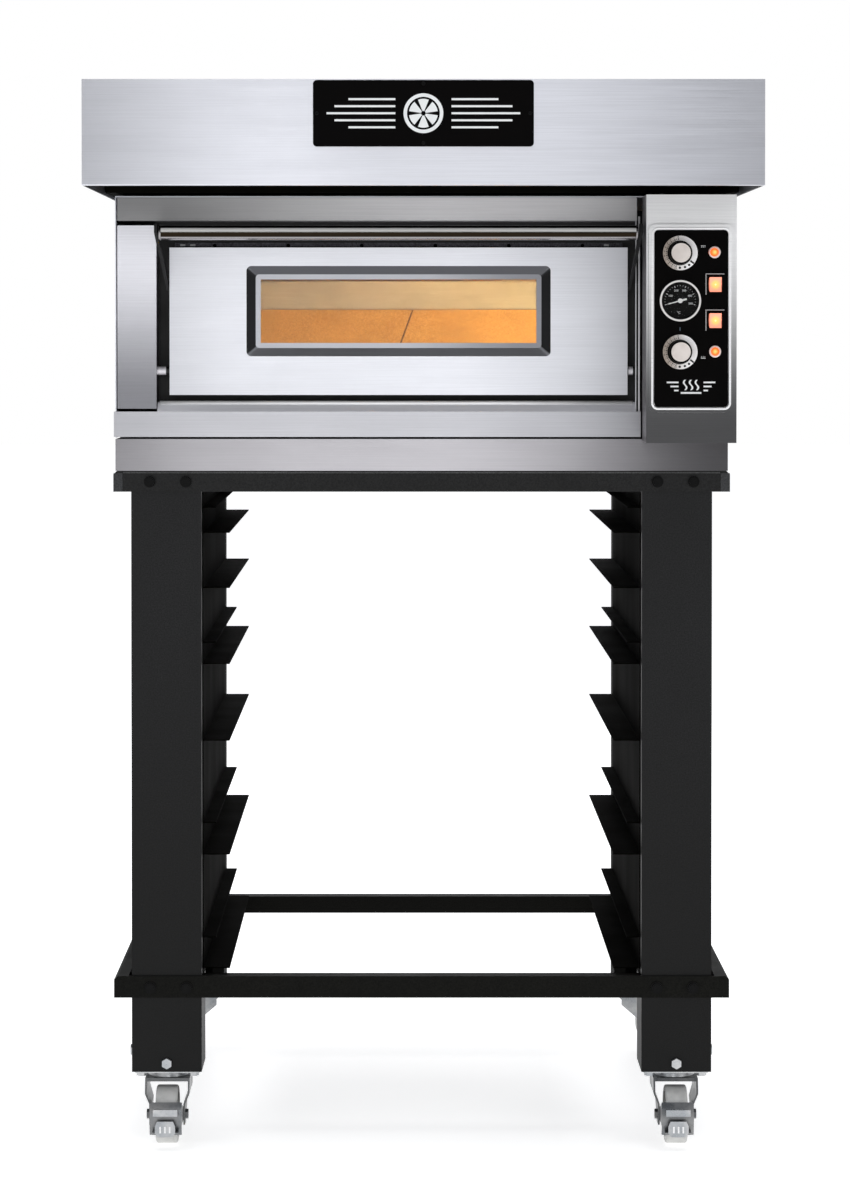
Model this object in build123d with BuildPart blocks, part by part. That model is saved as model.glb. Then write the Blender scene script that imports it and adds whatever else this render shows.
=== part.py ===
from build123d import *
import os
from math import cos, radians, sin

os.makedirs("parts", exist_ok=True)

# A single-deck electric pizza oven with a steam hood, on a wheeled stand with tray runners.
# +Z is up, the floor is z = 0, the front faces -Y, and +X is to the right seen from the front.

# ---- driving dimensions (mm) ----
hood_front = -532.5
rear = 532.5
hood_width = 876.0
hood_bottom = 1318.0
hood_top = 1454.0

front = -187.5          # plane of the oven's front faces and of the stand's front
oven_rear = 520.0
oven_width = 848.0
oven_bottom = 938.0
sheet = 1.5             # stainless casing
stand_sheet = 2.0

stand_width = 854.0
stand_depth = 700.0
leg_width = 97.0
leg_depth = 90.0
leg_inner = 305.5       # inner face of each leg from the middle plane
leg_bottom = 105.0
rail_height = 29.0
lower_rail_bottom = 206.0

door_middle = -32.0     # the door and the chamber are left of the middle plane
door_width = 634.0
door_bottom = 1043.0
door_top = 1247.0
pivot_y = front + 18.0
pivot_z = 1076.5
chamber_width = 600.0
chamber_depth = 620.0
chamber_front = front + 52.5
hearth_top = 1086.0
ceiling = 1226.0
recess_left = -367.0
recess_right = 297.6

window_z = 1159.0
glass_width = 382.0
glass_height = 88.0

control_left = 305.0
control_right = 428.0
control_front = front - 80.0
control_x = 366.0       # middle of the control plate
control_z = 1148.5

caster_x = 354.0
caster_inset = 48.0     # swivel axis from the front or the rear of the stand
caster_trail = 28.0
wheel_radius = 40.0
wheel_width = 30.0
axle_radius = 4.0

running_clearance = 0.05

# ---- derived places ----
stand_rear = front + stand_depth
leg_outer = leg_inner + leg_width
rail_top = oven_bottom
upper_rail_bottom = oven_bottom - rail_height
lower_rail_top = lower_rail_bottom + rail_height + 1.0
leg_top = upper_rail_bottom + rail_height - 3.0
door_left = door_middle - door_width / 2
door_right = door_middle + door_width / 2
chamber_left = door_middle - chamber_width / 2
chamber_right = door_middle + chamber_width / 2
chamber_rear = chamber_front + sheet + chamber_depth
half_oven = oven_width / 2
side_inside = half_oven - sheet
rear_inside = oven_rear - sheet


def block(x_range, y_range, z_range, mode=Mode.ADD):
    """Add, or cut, a rectangular block given by its limits along each axis."""
    centre = (sum(x_range) / 2, sum(y_range) / 2, sum(z_range) / 2)
    with Locations(centre):
        Box(
            x_range[1] - x_range[0],
            y_range[1] - y_range[0],
            z_range[1] - z_range[0],
            mode=mode,
        )


def rod(start, direction, radius, length, mode=Mode.ADD):
    """Add, or cut, a round bar that starts at a point and runs along a direction."""
    with BuildSketch(Plane(origin=start, z_dir=direction)) as section:
        Circle(radius)
    extrude(section.sketch, amount=length, mode=mode)


def tray(x_range, y_range, z_range, wall, open_side):
    """Add a box-shaped sheet tray, open on one side: '+z', '-z', '+y' or '-y'."""
    block(x_range, y_range, z_range)
    inner = {
        "x": [x_range[0] + wall, x_range[1] - wall],
        "y": [y_range[0] + wall, y_range[1] - wall],
        "z": [z_range[0] + wall, z_range[1] - wall],
    }
    end = 1 if open_side[0] == "+" else 0
    inner[open_side[1]][end] += wall if end else -wall
    block(inner["x"], inner["y"], inner["z"], mode=Mode.SUBTRACT)


def save(part, label):
    """Name a finished piece and write it."""
    part.label = label
    export_step(part, f"parts/{label}.step")


# ---- stand ----
bolt_spots = [leg_inner + 21.0, leg_inner + 71.0]
bolt_heights = [upper_rail_bottom + 14.0, lower_rail_bottom + 14.0]
rail_skin = 3.0
web_gap = rail_skin     # the legs' webs lie behind the front and rear rails


def stand_leg(x_side, y_side):
    """A leg: channel with its web to the front (or rear), lips on its open side, closed foot."""
    x_range = sorted([x_side * leg_inner, x_side * leg_outer])
    web = front + web_gap if y_side < 0 else stand_rear - web_gap
    back = web - y_side * leg_depth
    y_range = sorted([web, back])
    centre = (sum(x_range) / 2, sum(y_range) / 2)
    with BuildPart() as leg:
        with BuildSketch(Plane.XY.offset(leg_bottom)):
            with Locations(centre):
                Rectangle(leg_width, leg_depth)
                Rectangle(leg_width - 2 * stand_sheet, leg_depth - 2 * stand_sheet, mode=Mode.SUBTRACT)
            with Locations((centre[0], back)):
                Rectangle(leg_width - 36.0, 3 * stand_sheet, mode=Mode.SUBTRACT)
        extrude(amount=leg_top - leg_bottom)
        block(x_range, y_range, (leg_bottom - 3.0, leg_bottom))
        for x in bolt_spots:
            for z in bolt_heights:
                rod((x_side * x, web - y_side * 5.0, z), (0, y_side, 0), 4.2, 10.0, Mode.SUBTRACT)
        rod((x_side * caster_x, web - y_side * 5.0, 114.0), (0, y_side, 0), 4.2, 10.0, Mode.SUBTRACT)
        side_hole = (x_side * (leg_outer - 5.0), centre[1], 124.0)
        rod(side_hole, (x_side, 0, 0), 4.2, 10.0, Mode.SUBTRACT)
        for hole in caster_holes(x_side, y_side):
            rod((hole[0], hole[1], leg_bottom - 5.0), (0, 0, 1), 4.2, 10.0, Mode.SUBTRACT)
    return leg.part


def caster_axis(x_side, y_side):
    """Plan position of a caster's swivel axis."""
    y = front + caster_inset if y_side < 0 else stand_rear - caster_inset
    return (x_side * caster_x, y)


def caster_holes(x_side, y_side):
    """Plan positions of the four bolts of one caster plate."""
    x, y = caster_axis(x_side, y_side)
    return [(x + i * 36.0, y + j * 28.0) for i in (-1, 1) for j in (-1, 1)]


def stand_frame(bottom, top):
    """A welded rectangular frame: angle rails front and rear, tube rails at the sides."""
    side = stand_width / 2
    inner = side - 20.0
    with BuildPart() as frame:
        for x_side in (-1, 1):
            with BuildSketch(Plane.XZ.offset(-front)):
                with BuildLine():
                    Polyline(
                        (x_side * inner, bottom),
                        (x_side * side, bottom),
                        (x_side * side, top - 5.0),
                        (x_side * (side - 5.0), top),
                        (x_side * inner, top),
                        close=True,
                    )
                make_face()
            extrude(amount=-stand_depth)
            hollow = sorted([x_side * (inner + 2.0), x_side * (side - 2.0)])
            block(hollow, (front + 2, stand_rear - 2), (bottom + 2, top - 7), Mode.SUBTRACT)
        for y_side in (-1, 1):
            face = front if y_side < 0 else stand_rear
            skin = sorted([face, face - y_side * rail_skin])
            shelf = sorted([face, face - y_side * 25.0])
            block((-inner, inner), skin, (bottom, top))
            block((-leg_inner + 1, leg_inner - 1), shelf, (top - rail_skin, top))
            for x_side in (-1, 1):
                for x in bolt_spots:
                    z = bottom + 14.0
                    start = (x_side * x, face - y_side * 5.0, z)
                    rod(start, (0, y_side, 0), 4.2, 10.0, Mode.SUBTRACT)
    return frame.part


for x_side, x_name in ((-1, "left"), (1, "right")):
    for y_side, y_name in ((-1, "front"), (1, "rear")):
        save(stand_leg(x_side, y_side), f"stand_leg_{y_name}_{x_name}")
save(stand_frame(upper_rail_bottom, rail_top), "upper_frame")
save(stand_frame(lower_rail_bottom, lower_rail_top), "lower_frame")

# Heights of the tops of the tray flanges and of the narrow guide flanges above some of them.
tray_flange_heights = [244.0, 403.0, 562.0, 669.0, 775.0, 852.0]
guide_flange_heights = [287.0, 447.0, 699.0, 887.0]
tray_flange = 38.0
guide_flange = 19.0
rack_sheet = 1.5
weld_gap = 0.05
rack_start = front + 25.0
rack_end = front + 635.0


def runner_rack(x_side):
    """A rack: side sheet against the legs' inner faces with flanges spot-welded to it."""
    wall_face = leg_inner - rack_sheet
    wall = sorted([x_side * leg_inner, x_side * wall_face])
    with BuildPart() as rack:
        block(wall, (rack_start, rack_end), (tray_flange_heights[0] - 12.0, upper_rail_bottom - 2.0))
        for heights, width in ((tray_flange_heights, tray_flange), (guide_flange_heights, guide_flange)):
            for z in heights:
                flange = sorted([x_side * (wall_face - weld_gap), x_side * (leg_inner - width)])
                block(flange, (rack_start, rack_end), (z - rack_sheet, z))
    return rack.part


save(runner_rack(-1), "runner_rack_left")
save(runner_rack(1), "runner_rack_right")


def carriage_bolt(x, face, y_side, z):
    """A domed bolt through rail and leg web, with its nut behind."""
    rod((x, face, z), (0, y_side, 0), 8.0, 2.0)
    rod((x, face + y_side * 2.0, z), (0, y_side, 0), 6.0, 1.6)
    rod((x, face, z), (0, -y_side, 0), 4.0, 13.0)
    with BuildSketch(Plane(origin=(x, face - y_side * 5.0, z), z_dir=(0, -y_side, 0))) as nut:
        RegularPolygon(7.5, 6)
    extrude(nut.sketch, amount=6.0)


with BuildPart() as frame_bolts:
    for y_side, face in ((-1, front), (1, stand_rear)):
        for x_side in (-1, 1):
            for x in bolt_spots:
                for z in bolt_heights:
                    carriage_bolt(x_side * x, face, y_side, z)
save(frame_bolts.part, "frame_bolts")


def hex_bolt(start, direction, length):
    """A bolt whose hexagon head stands on the start point and whose shank runs backwards."""
    with BuildSketch(Plane(origin=start, z_dir=direction)) as head:
        RegularPolygon(7.5, 6)
    extrude(head.sketch, amount=5.0)
    backwards = tuple(-value for value in direction)
    rod(start, backwards, 4.0, length)



# ---- casters ----
plate_bottom = 99.0
race_bottom = 91.3
crown_top = 91.0
kingpin_radius = 6.0

with BuildPart() as caster_plates:
    for x_side in (-1, 1):
        for y_side in (-1, 1):
            x, y = caster_axis(x_side, y_side)
            with BuildSketch(Plane.XY.offset(plate_bottom)):
                with Locations((x, y)):
                    RectangleRounded(92.0, 76.0, 6.0)
                with Locations(*caster_holes(x_side, y_side)):
                    Circle(4.2, mode=Mode.SUBTRACT)
            extrude(amount=3.0)
            with BuildSketch(Plane.XY.offset(race_bottom)):
                with Locations((x, y)):
                    Circle(29.0)
            extrude(amount=plate_bottom - race_bottom, taper=14.0)
            rod((x, y, 82.0), (0, 0, 1), kingpin_radius, 12.0)
            rod((x, y, 82.0), (0, 0, 1), 10.0, 4.0)
save(caster_plates.part, "caster_plates")

with BuildPart() as zinc_bolts:
    for x_side in (-1, 1):
        for y_side in (-1, 1):
            web = front + web_gap if y_side < 0 else stand_rear - web_gap
            hex_bolt((x_side * caster_x, web, 114.0), (0, y_side, 0), 10.0)
            middle = web - y_side * leg_depth / 2
            hex_bolt((x_side * leg_outer, middle, 124.0), (x_side, 0, 0), 10.0)
            for hole in caster_holes(x_side, y_side):
                hex_bolt((hole[0], hole[1], plate_bottom), (0, 0, -1), 14.0)
save(zinc_bolts.part, "zinc_bolts")

# In a caster's own frame the swivel axis is the Z axis and the wheel trails towards -Y.
fork_half = 31.0
fork_sheet = 2.5
ankle_half = 25.0
crown_bottom = crown_top - fork_sheet - 2.0


def mirrored_outline(half_points):
    """Close an outline by repeating its right half on the left."""
    left = [(-x, z) for x, z in reversed(half_points)]
    return half_points + left


def fork_in_place():
    """The pressed fork: crown on top, two tapering cheeks, with its axle bolt and nuts."""
    outside = [(ankle_half, 27.0), (ankle_half, 56.0), (fork_half, 70.0), (fork_half, crown_top)]
    inside = [(x - fork_sheet, z) for x, z in outside[:3]] + [(fork_half - fork_sheet, crown_bottom)]
    with BuildPart() as fork:
        with BuildSketch(Plane.XZ.offset(-50.0)):
            with BuildLine():
                Polyline(*mirrored_outline(outside), close=True)
            make_face()
            with BuildLine():
                Polyline(*mirrored_outline(inside), close=True)
            make_face(mode=Mode.SUBTRACT)
        extrude(amount=100.0)
        with BuildSketch(Plane.YZ.offset(-50.0)):
            with BuildLine():
                Polyline(
                    (-34.0, crown_top),
                    (-41.0, 66.0),
                    (-40.0, 27.0),
                    (-16.0, 27.0),
                    (36.0, 74.0),
                    (36.0, crown_top),
                    close=True,
                )
            make_face()
        extrude(amount=100.0, mode=Mode.INTERSECT)
        rod((0, 0, 60.0), (0, 0, 1), kingpin_radius + running_clearance, 40.0, Mode.SUBTRACT)
        axle_start = (-ankle_half - 6.0, -caster_trail, wheel_radius)
        rod(axle_start, (1, 0, 0), axle_radius + 0.1, 2 * ankle_half + 12.0, Mode.SUBTRACT)
        rod((-ankle_half, -caster_trail, wheel_radius), (1, 0, 0), axle_radius, 2 * ankle_half)
        for x_side in (-1, 1):
            nut = (x_side * ankle_half, -caster_trail, wheel_radius)
            with BuildSketch(Plane(origin=nut, z_dir=(x_side, 0, 0))):
                RegularPolygon(7.0, 6)
            extrude(amount=4.0)
    return fork.part


def wheel_in_place():
    """The nylon wheel with its hub and bore."""
    with BuildPart() as wheel:
        axle = Plane(origin=(0, -caster_trail, wheel_radius), z_dir=(1, 0, 0))
        with BuildSketch(axle.offset(-wheel_width / 2)):
            Circle(wheel_radius)
        extrude(amount=wheel_width)
        fillet(wheel.edges().filter_by(GeomType.CIRCLE), 3.0)
        for face in (-wheel_width / 2, wheel_width / 2 - 3.0):
            with BuildSketch(axle.offset(face)):
                Circle(31.0)
                Circle(14.0, mode=Mode.SUBTRACT)
            extrude(amount=3.0, mode=Mode.SUBTRACT)
        with BuildSketch(axle.offset(-20.0)):
            Circle(11.0)
        extrude(amount=40.0)
        rod((-22.0, -caster_trail, wheel_radius), (1, 0, 0), axle_radius + running_clearance, 44.0,
            Mode.SUBTRACT)
    return wheel.part


def polar_point(radius, degrees_up):
    """A point in the side view at a radius from the wheel's centre, in front of it."""
    angle = radians(degrees_up)
    return (-caster_trail - radius * cos(angle), wheel_radius + radius * sin(angle))


def pedal_in_place():
    """The brake pedal: two arms on the axle, a curved plate and a foot tongue before the wheel."""
    arm_half = 22.2
    arm_sheet = 1.6
    with BuildPart() as pedal:
        with BuildSketch(Plane.YZ.offset(-arm_half)):
            with BuildLine():
                arc_out = ThreePointArc(
                    polar_point(46.0, 32.0), polar_point(46.0, 0.0), polar_point(46.0, -26.0)
                )
                Line(arc_out @ 1, polar_point(43.0, -26.0))
                arc_in = ThreePointArc(
                    polar_point(43.0, -26.0), polar_point(43.0, 0.0), polar_point(43.0, 32.0)
                )
                Line(arc_in @ 1, arc_out @ 0)
            make_face()
        extrude(amount=2 * arm_half)
        for x in (-arm_half, arm_half - arm_sheet):
            with BuildSketch(Plane.YZ.offset(x)):
                with BuildLine():
                    Polyline(
                        (-caster_trail + 5.0, wheel_radius - 7.0),
                        (-caster_trail + 5.0, wheel_radius + 7.0),
                        polar_point(44.0, 30.0),
                        polar_point(44.0, -10.0),
                        close=True,
                    )
                make_face()
            extrude(amount=arm_sheet)
        tip = polar_point(45.0, -20.0)
        block((-18.0, 18.0), (tip[0] - 14.0, tip[0]), (tip[1] - 1.5, tip[1] + 1.5))
        rod((-arm_half - 1.0, -caster_trail, wheel_radius), (1, 0, 0), axle_radius + running_clearance,
            2 * arm_half + 2.0, Mode.SUBTRACT)
        rod((-arm_half + arm_sheet, -caster_trail, wheel_radius), (1, 0, 0), 11.6,
            2 * (arm_half - arm_sheet), Mode.SUBTRACT)
    return pedal.part


def placed(part, x_side, y_side):
    """Put a caster piece at its corner: rear casters trail outwards, front ones forwards."""
    x, y = caster_axis(x_side, y_side)
    turn = 0.0 if y_side < 0 else x_side * 90.0
    return Pos(x, y, 0) * Rot(0, 0, turn) * part


fork = fork_in_place()
wheel = wheel_in_place()
pedal = pedal_in_place()
for x_side, x_name in ((-1, "left"), (1, "right")):
    for y_side, y_name in ((-1, "front"), (1, "rear")):
        save(placed(fork, x_side, y_side), f"caster_fork_{y_name}_{x_name}")
        save(placed(wheel, x_side, y_side), f"caster_wheel_{y_name}_{x_name}")
    save(placed(pedal, x_side, -1), f"brake_pedal_{x_name}")

# ---- oven casing ----
with BuildPart() as base_pan:
    tray((-half_oven, half_oven), (front, oven_rear), (oven_bottom, oven_bottom + 44.0), sheet, "+z")
save(base_pan.part, "base_pan")

sill_bottom = oven_bottom + 47.0
sill_top = 1020.0
lip_top = 1033.0
with BuildPart() as sill_trim:
    block((-half_oven - 2, control_left - 2), (front - 2, front - 2 + sheet), (sill_bottom, sill_top))
    block((-side_inside + 1, control_left - 2), (front - 2, front + 20), (sill_top - sheet, sill_top))
    with BuildSketch(Plane.YZ.offset(recess_left + 1)):
        with BuildLine():
            Polyline(
                (front - 2.0, sill_top - sheet),
                (front - 2.0, sill_top),
                (front + 10.0, lip_top),
                (chamber_front - 0.5, lip_top),
                (chamber_front - 0.5, lip_top - sheet),
                (front + 10.7, lip_top - sheet),
                (front, sill_top - sheet),
                close=True,
            )
        make_face()
    extrude(amount=recess_right - recess_left - 2.0)
save(sill_trim.part, "sill_trim")

with BuildPart() as left_column:
    tray((-421.0, recess_left), (front, chamber_front - 1), (1024.0, 1277.5), sheet, "+y")
    rod((recess_left - 10, pivot_y, pivot_z), (1, 0, 0), 7.5, 20.0, Mode.SUBTRACT)
save(left_column.part, "left_column")

with BuildPart() as top_fascia:
    tray((-421.0, recess_right), (front, chamber_front - 1), (1284.0, 1316.0), sheet, "+y")
save(top_fascia.part, "top_fascia")

cover_bottom = oven_bottom + 46.0
cover_top = hood_bottom - sheet
with BuildPart() as side_cover_left:
    block((-half_oven, -half_oven + sheet), (front, oven_rear), (cover_bottom, cover_top))
save(side_cover_left.part, "side_cover_left")

with BuildPart() as side_cover_right:
    block((half_oven - sheet, half_oven), (front, oven_rear), (cover_bottom, cover_top))
    with BuildSketch(Plane.YZ.offset(half_oven + 1)):
        with Locations((300.0, 1080.0)):
            with GridLocations(80.0, 14.0, 2, 8):
                SlotOverall(66.0, 5.0)
    extrude(amount=-5.0, mode=Mode.SUBTRACT)
save(side_cover_right.part, "side_cover_right")

with BuildPart() as top_cover:
    block((-half_oven, half_oven), (front, oven_rear), (cover_top, hood_bottom))
save(top_cover.part, "top_cover")

gland_x = 372.0
gland_z = 1012.0
with BuildPart() as rear_cover:
    block((-side_inside, side_inside), (rear_inside, oven_rear), (cover_bottom, cover_top))
    rod((gland_x, rear_inside - 2, gland_z), (0, 1, 0), 12.6, 10.0, Mode.SUBTRACT)
save(rear_cover.part, "rear_cover")

with BuildPart() as hinge_blocks:
    for x_range in ((recess_left - 20, recess_left - 2), (recess_right + 2, recess_right + 20)):
        block(x_range, (pivot_y - 12, chamber_front), (pivot_z - 14, pivot_z + 14))
        rod((x_range[0] - 1, pivot_y, pivot_z), (1, 0, 0), 6.0 + running_clearance, 20.0, Mode.SUBTRACT)
save(hinge_blocks.part, "hinge_blocks")

# ---- chamber ----
liner_left = chamber_left - 5.0
liner_right = chamber_right + 5.0
liner_floor = hearth_top - 18.0
lamp_y = chamber_front + 300.0
lamp_z = 1120.0
element_radius = 4.0
top_element_z = ceiling - 12.0
floor_element_z = liner_floor - 9.0
element_pitch = 40.0
element_runs = 14       # an even number, so that both ends leave on the right
element_far = chamber_rear - 40.0
element_near = element_far - (element_runs - 1) * element_pitch
terminal_ys = (element_near, element_far)

with BuildPart() as chamber_liner:
    block(
        (liner_left - sheet, liner_right + sheet),
        (chamber_front, chamber_rear + sheet),
        (liner_floor - sheet, ceiling + sheet),
    )
    block(
        (recess_left - 5, recess_right + 5),
        (chamber_front, chamber_front + sheet),
        (1033.5, 1292.0),
    )
    block(
        (liner_left, liner_right),
        (chamber_front + sheet, chamber_rear),
        (liner_floor, ceiling),
        Mode.SUBTRACT,
    )
    block(
        (chamber_left, chamber_right),
        (chamber_front - 1, chamber_front + 2),
        (hearth_top, ceiling),
        Mode.SUBTRACT,
    )
    rod((liner_right - 2, lamp_y, lamp_z), (1, 0, 0), 26.0, 6.0, Mode.SUBTRACT)
    for y in terminal_ys:
        rod((liner_right - 2, y, top_element_z), (1, 0, 0), 4.5, 6.0, Mode.SUBTRACT)
save(chamber_liner.part, "chamber_liner")

slab_gap = 0.5
tile_top = 1166.0
with BuildPart() as hearth_stones:
    for x_range in ((chamber_left, door_middle - slab_gap), (door_middle + slab_gap, chamber_right)):
        block(x_range, (chamber_front + 8, chamber_rear - 14), (liner_floor, hearth_top))
        block(x_range, (chamber_rear - 12, chamber_rear - 1), (liner_floor, tile_top))
save(hearth_stones.part, "hearth_stones")


def heating_element(height):
    """A serpentine heater rod whose two ends leave through the chamber's right side."""
    left = chamber_left + 45.0
    right = chamber_right - 50.0
    end = liner_right + 62.0
    radius = element_pitch / 2
    with BuildPart() as element:
        with BuildLine(Plane.XY.offset(height)) as line:
            for index in range(element_runs):
                y = element_near + index * element_pitch
                first_or_last = index in (0, element_runs - 1)
                Line((left, y), (end if first_or_last else right, y))
                if index < element_runs - 1:
                    x, bulge = (right, radius) if index % 2 == 1 else (left, -radius)
                    ThreePointArc((x, y), (x + bulge, y + radius), (x, y + element_pitch))
        with BuildSketch(Plane(origin=(end, element_near, height), z_dir=(-1, 0, 0))):
            Circle(element_radius)
        sweep(path=line.wire())
    return element.part


top_element = heating_element(top_element_z)
floor_element = heating_element(floor_element_z)
save(top_element, "top_element")
save(floor_element, "floor_element")

insulation_right = control_left + 13.0
with BuildPart() as insulation:
    block(
        (-side_inside + 1, insulation_right),
        (chamber_front + sheet, rear_inside - 1),
        (oven_bottom + sheet + 1, 1300.0),
    )
    block(
        (liner_left - sheet, liner_right + sheet),
        (chamber_front, chamber_rear + sheet),
        (liner_floor - sheet, ceiling + sheet),
        Mode.SUBTRACT,
    )
    block(
        (chamber_left + 5, insulation_right + 1),
        (chamber_front + 20, chamber_rear - 20),
        (floor_element_z - 8, liner_floor - sheet + 0.1),
        Mode.SUBTRACT,
    )
    rod((liner_right, lamp_y, lamp_z), (1, 0, 0), 27.0, 60.0, Mode.SUBTRACT)
    for y in terminal_ys:
        rod((liner_right, y, top_element_z), (1, 0, 0), 4.6, 60.0, Mode.SUBTRACT)
save(insulation.part, "insulation")

with BuildPart() as chamber_lamp:
    rod((liner_right - 4, lamp_y, lamp_z), (1, 0, 0), 30.0, 4.0)
    rod((liner_right, lamp_y, lamp_z), (1, 0, 0), 25.5, 44.0)
    rod((liner_right - 16, lamp_y, lamp_z), (1, 0, 0), 20.0, 12.0)
    fillet(chamber_lamp.edges().filter_by(GeomType.CIRCLE).sort_by(Axis.X)[0], 9.0)
save(chamber_lamp.part, "chamber_lamp")

# ---- door ----
door_face = front + 2.0
pan_depth = 31.0
emboss_depth = 7.0
window_x = (door_middle - glass_width / 2, door_middle + glass_width / 2)
window_zs = (window_z - glass_height / 2, window_z + glass_height / 2)


def emboss(grow, depth_extra, mode):
    """The tapered window recess pressed into the door's face."""
    with BuildSketch(Plane.XZ.offset(-door_face)) as mouth:
        with Locations((door_middle, window_z)):
            RectangleRounded(421.0 + grow, 125.0 + grow, 7.0 + grow / 2)
    with BuildSketch(Plane.XZ.offset(-door_face - emboss_depth - depth_extra)) as floor:
        with Locations((door_middle, window_z)):
            RectangleRounded(396.0 + grow, 102.0 + grow, 5.0 + grow / 2)
    loft([mouth.sketch, floor.sketch], mode=mode)


with BuildPart() as door_outer_panel:
    tray((door_left, door_right), (door_face, door_face + pan_depth), (door_bottom, door_top), sheet, "+y")
    block((door_left - 1, door_right + 1), (door_face + sheet, door_face + pan_depth + 1),
          (door_bottom - 1, pivot_z - 9), Mode.SUBTRACT)
    emboss(2 * sheet, sheet, Mode.ADD)
    emboss(0.0, 0.0, Mode.SUBTRACT)
    block(window_x, (door_face - 1, door_face + 20), window_zs, Mode.SUBTRACT)
    rod((door_left - 1, pivot_y, pivot_z), (1, 0, 0), 6.05, door_width + 2, Mode.SUBTRACT)
save(door_outer_panel.part, "door_outer_panel")

with BuildPart() as door_inner_panel:
    tray(
        (door_left + sheet, door_right - sheet),
        (door_face + 26.0, front + 42.0),
        (pivot_z - 11.0, door_top - sheet),
        sheet,
        "-y",
    )
    block((window_x[0] - 4, window_x[1] + 4), (front, front + 50), (window_zs[0] - 4, window_zs[1] + 4),
          Mode.SUBTRACT)
    for x in (door_left, door_right - 21.0):
        block((x, x + 21.0), (pivot_y - 10, pivot_y + 10), (pivot_z - 8, pivot_z + 8), Mode.SUBTRACT)
save(door_inner_panel.part, "door_inner_panel")

with BuildPart() as door_glass:
    glass_z = (window_zs[0] - 9, window_zs[1] + 9)
    glass_x = (window_x[0] - 10, window_x[1] + 10)
    emboss_back = door_face + emboss_depth + sheet
    block(glass_x, (emboss_back, emboss_back + 4.0), glass_z)
    block(glass_x, (front + 34.0, front + 38.0), glass_z)
save(door_glass.part, "door_glass")

with BuildPart() as door_seal:
    with BuildSketch(Plane.XZ.offset(-(front + 42.0))):
        with Locations((door_middle, (pivot_z + 1 + ceiling + 9) / 2)):
            RectangleRounded(chamber_width + 20.0, ceiling + 8.0 - pivot_z, 10.0)
            RectangleRounded(chamber_width + 4.0, ceiling - 8.0 - pivot_z, 4.0, mode=Mode.SUBTRACT)
    extrude(amount=-10.0)
save(door_seal.part, "door_seal")

with BuildPart() as hinge_pins:
    for x_side, edge in ((-1, door_left), (1, door_right)):
        rod((edge - x_side * 16.0, pivot_y, pivot_z), (x_side, 0, 0), 6.0, 49.0)
        rod((edge - x_side * 4.0, pivot_y, pivot_z), (x_side, 0, 0), 7.5, 2.4)
save(hinge_pins.part, "hinge_pins")

handle_z = 1266.0
handle_y = front - 48.0
handle_radius = 10.0
arm_sheet = 4.0
handle_half = 334.0
arm_foot_x = door_width / 2 + arm_sheet / 2
with BuildPart() as handle_arms:
    for x_side in (-1, 1):
        foot = (door_middle + x_side * arm_foot_x, front + 15.0)
        head = (door_middle + x_side * (handle_half - arm_sheet / 2), handle_y)
        with BuildSketch(Plane.XY.offset(1188.0)):
            with Locations(foot):
                Rectangle(arm_sheet, 26.0)
        with BuildSketch(Plane.XY.offset(handle_z)):
            with Locations(head):
                Rectangle(arm_sheet, 24.0)
        loft()
        block(
            (head[0] - arm_sheet / 2, head[0] + arm_sheet / 2),
            (handle_y - 12.0, handle_y + 12.0),
            (handle_z, handle_z + 12.0),
        )
save(handle_arms.part, "handle_arms")

tube_half = handle_half - arm_sheet - 2.0
with BuildPart() as door_handle:
    rod((door_middle - tube_half, handle_y, handle_z), (1, 0, 0), handle_radius, 2 * tube_half)
    rod((door_middle - tube_half + 4, handle_y, handle_z), (1, 0, 0), handle_radius - 1.5,
        2 * tube_half - 8, Mode.SUBTRACT)
save(door_handle.part, "door_handle")

# ---- controls ----
knob_x = control_x - 15.0
knob_zs = {"top": control_z + 89.0, "floor": control_z - 45.5}
dial_z = control_z + 24.0
lamp_spots = [(control_x + 31.0, control_z + 90.0), (control_x + 32.5, control_z - 45.0)]
switch_x = control_x + 33.0
switch_zs = {"upper": control_z + 47.0, "lower": control_z - 2.0}
plate_face = control_front
plate_width = 100.0
plate_height = 240.0
rim_depth = 2.0
shaft_radius = 3.0
switch_hole = (18.8, 22.8)

with BuildPart() as control_box:
    tray((control_left, control_right), (control_front, front - 0.5), (979.0, 1317.0), sheet, "+y")
    with BuildSketch(Plane.XZ.offset(-control_front)):
        with Locations((control_x, control_z)):
            RectangleRounded(plate_width + 16.0, plate_height + 16.0, 9.0)
    extrude(amount=rim_depth)
    with BuildSketch(Plane.XZ.offset(-(control_front + 5.0))):
        with Locations((control_x, control_z)):
            RectangleRounded(plate_width + 1.0, plate_height + 1.0, 6.0)
    extrude(amount=10.0, mode=Mode.SUBTRACT)
save(control_box.part, "control_box")

with BuildPart() as control_plate:
    with BuildSketch(Plane.XZ.offset(-plate_face)):
        with Locations((control_x, control_z)):
            RectangleRounded(plate_width, plate_height, 5.5)
        with Locations((knob_x, knob_zs["top"]), (knob_x, knob_zs["floor"])):
            Circle(5.0, mode=Mode.SUBTRACT)
        with Locations((knob_x, dial_z)):
            Circle(25.2, mode=Mode.SUBTRACT)
        with Locations(*lamp_spots):
            Circle(5.2, mode=Mode.SUBTRACT)
        for z in switch_zs.values():
            with Locations((switch_x, z)):
                Rectangle(24.0, 27.0, mode=Mode.SUBTRACT)
    extrude(amount=-2.0)
save(control_plate.part, "control_plate")

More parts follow.
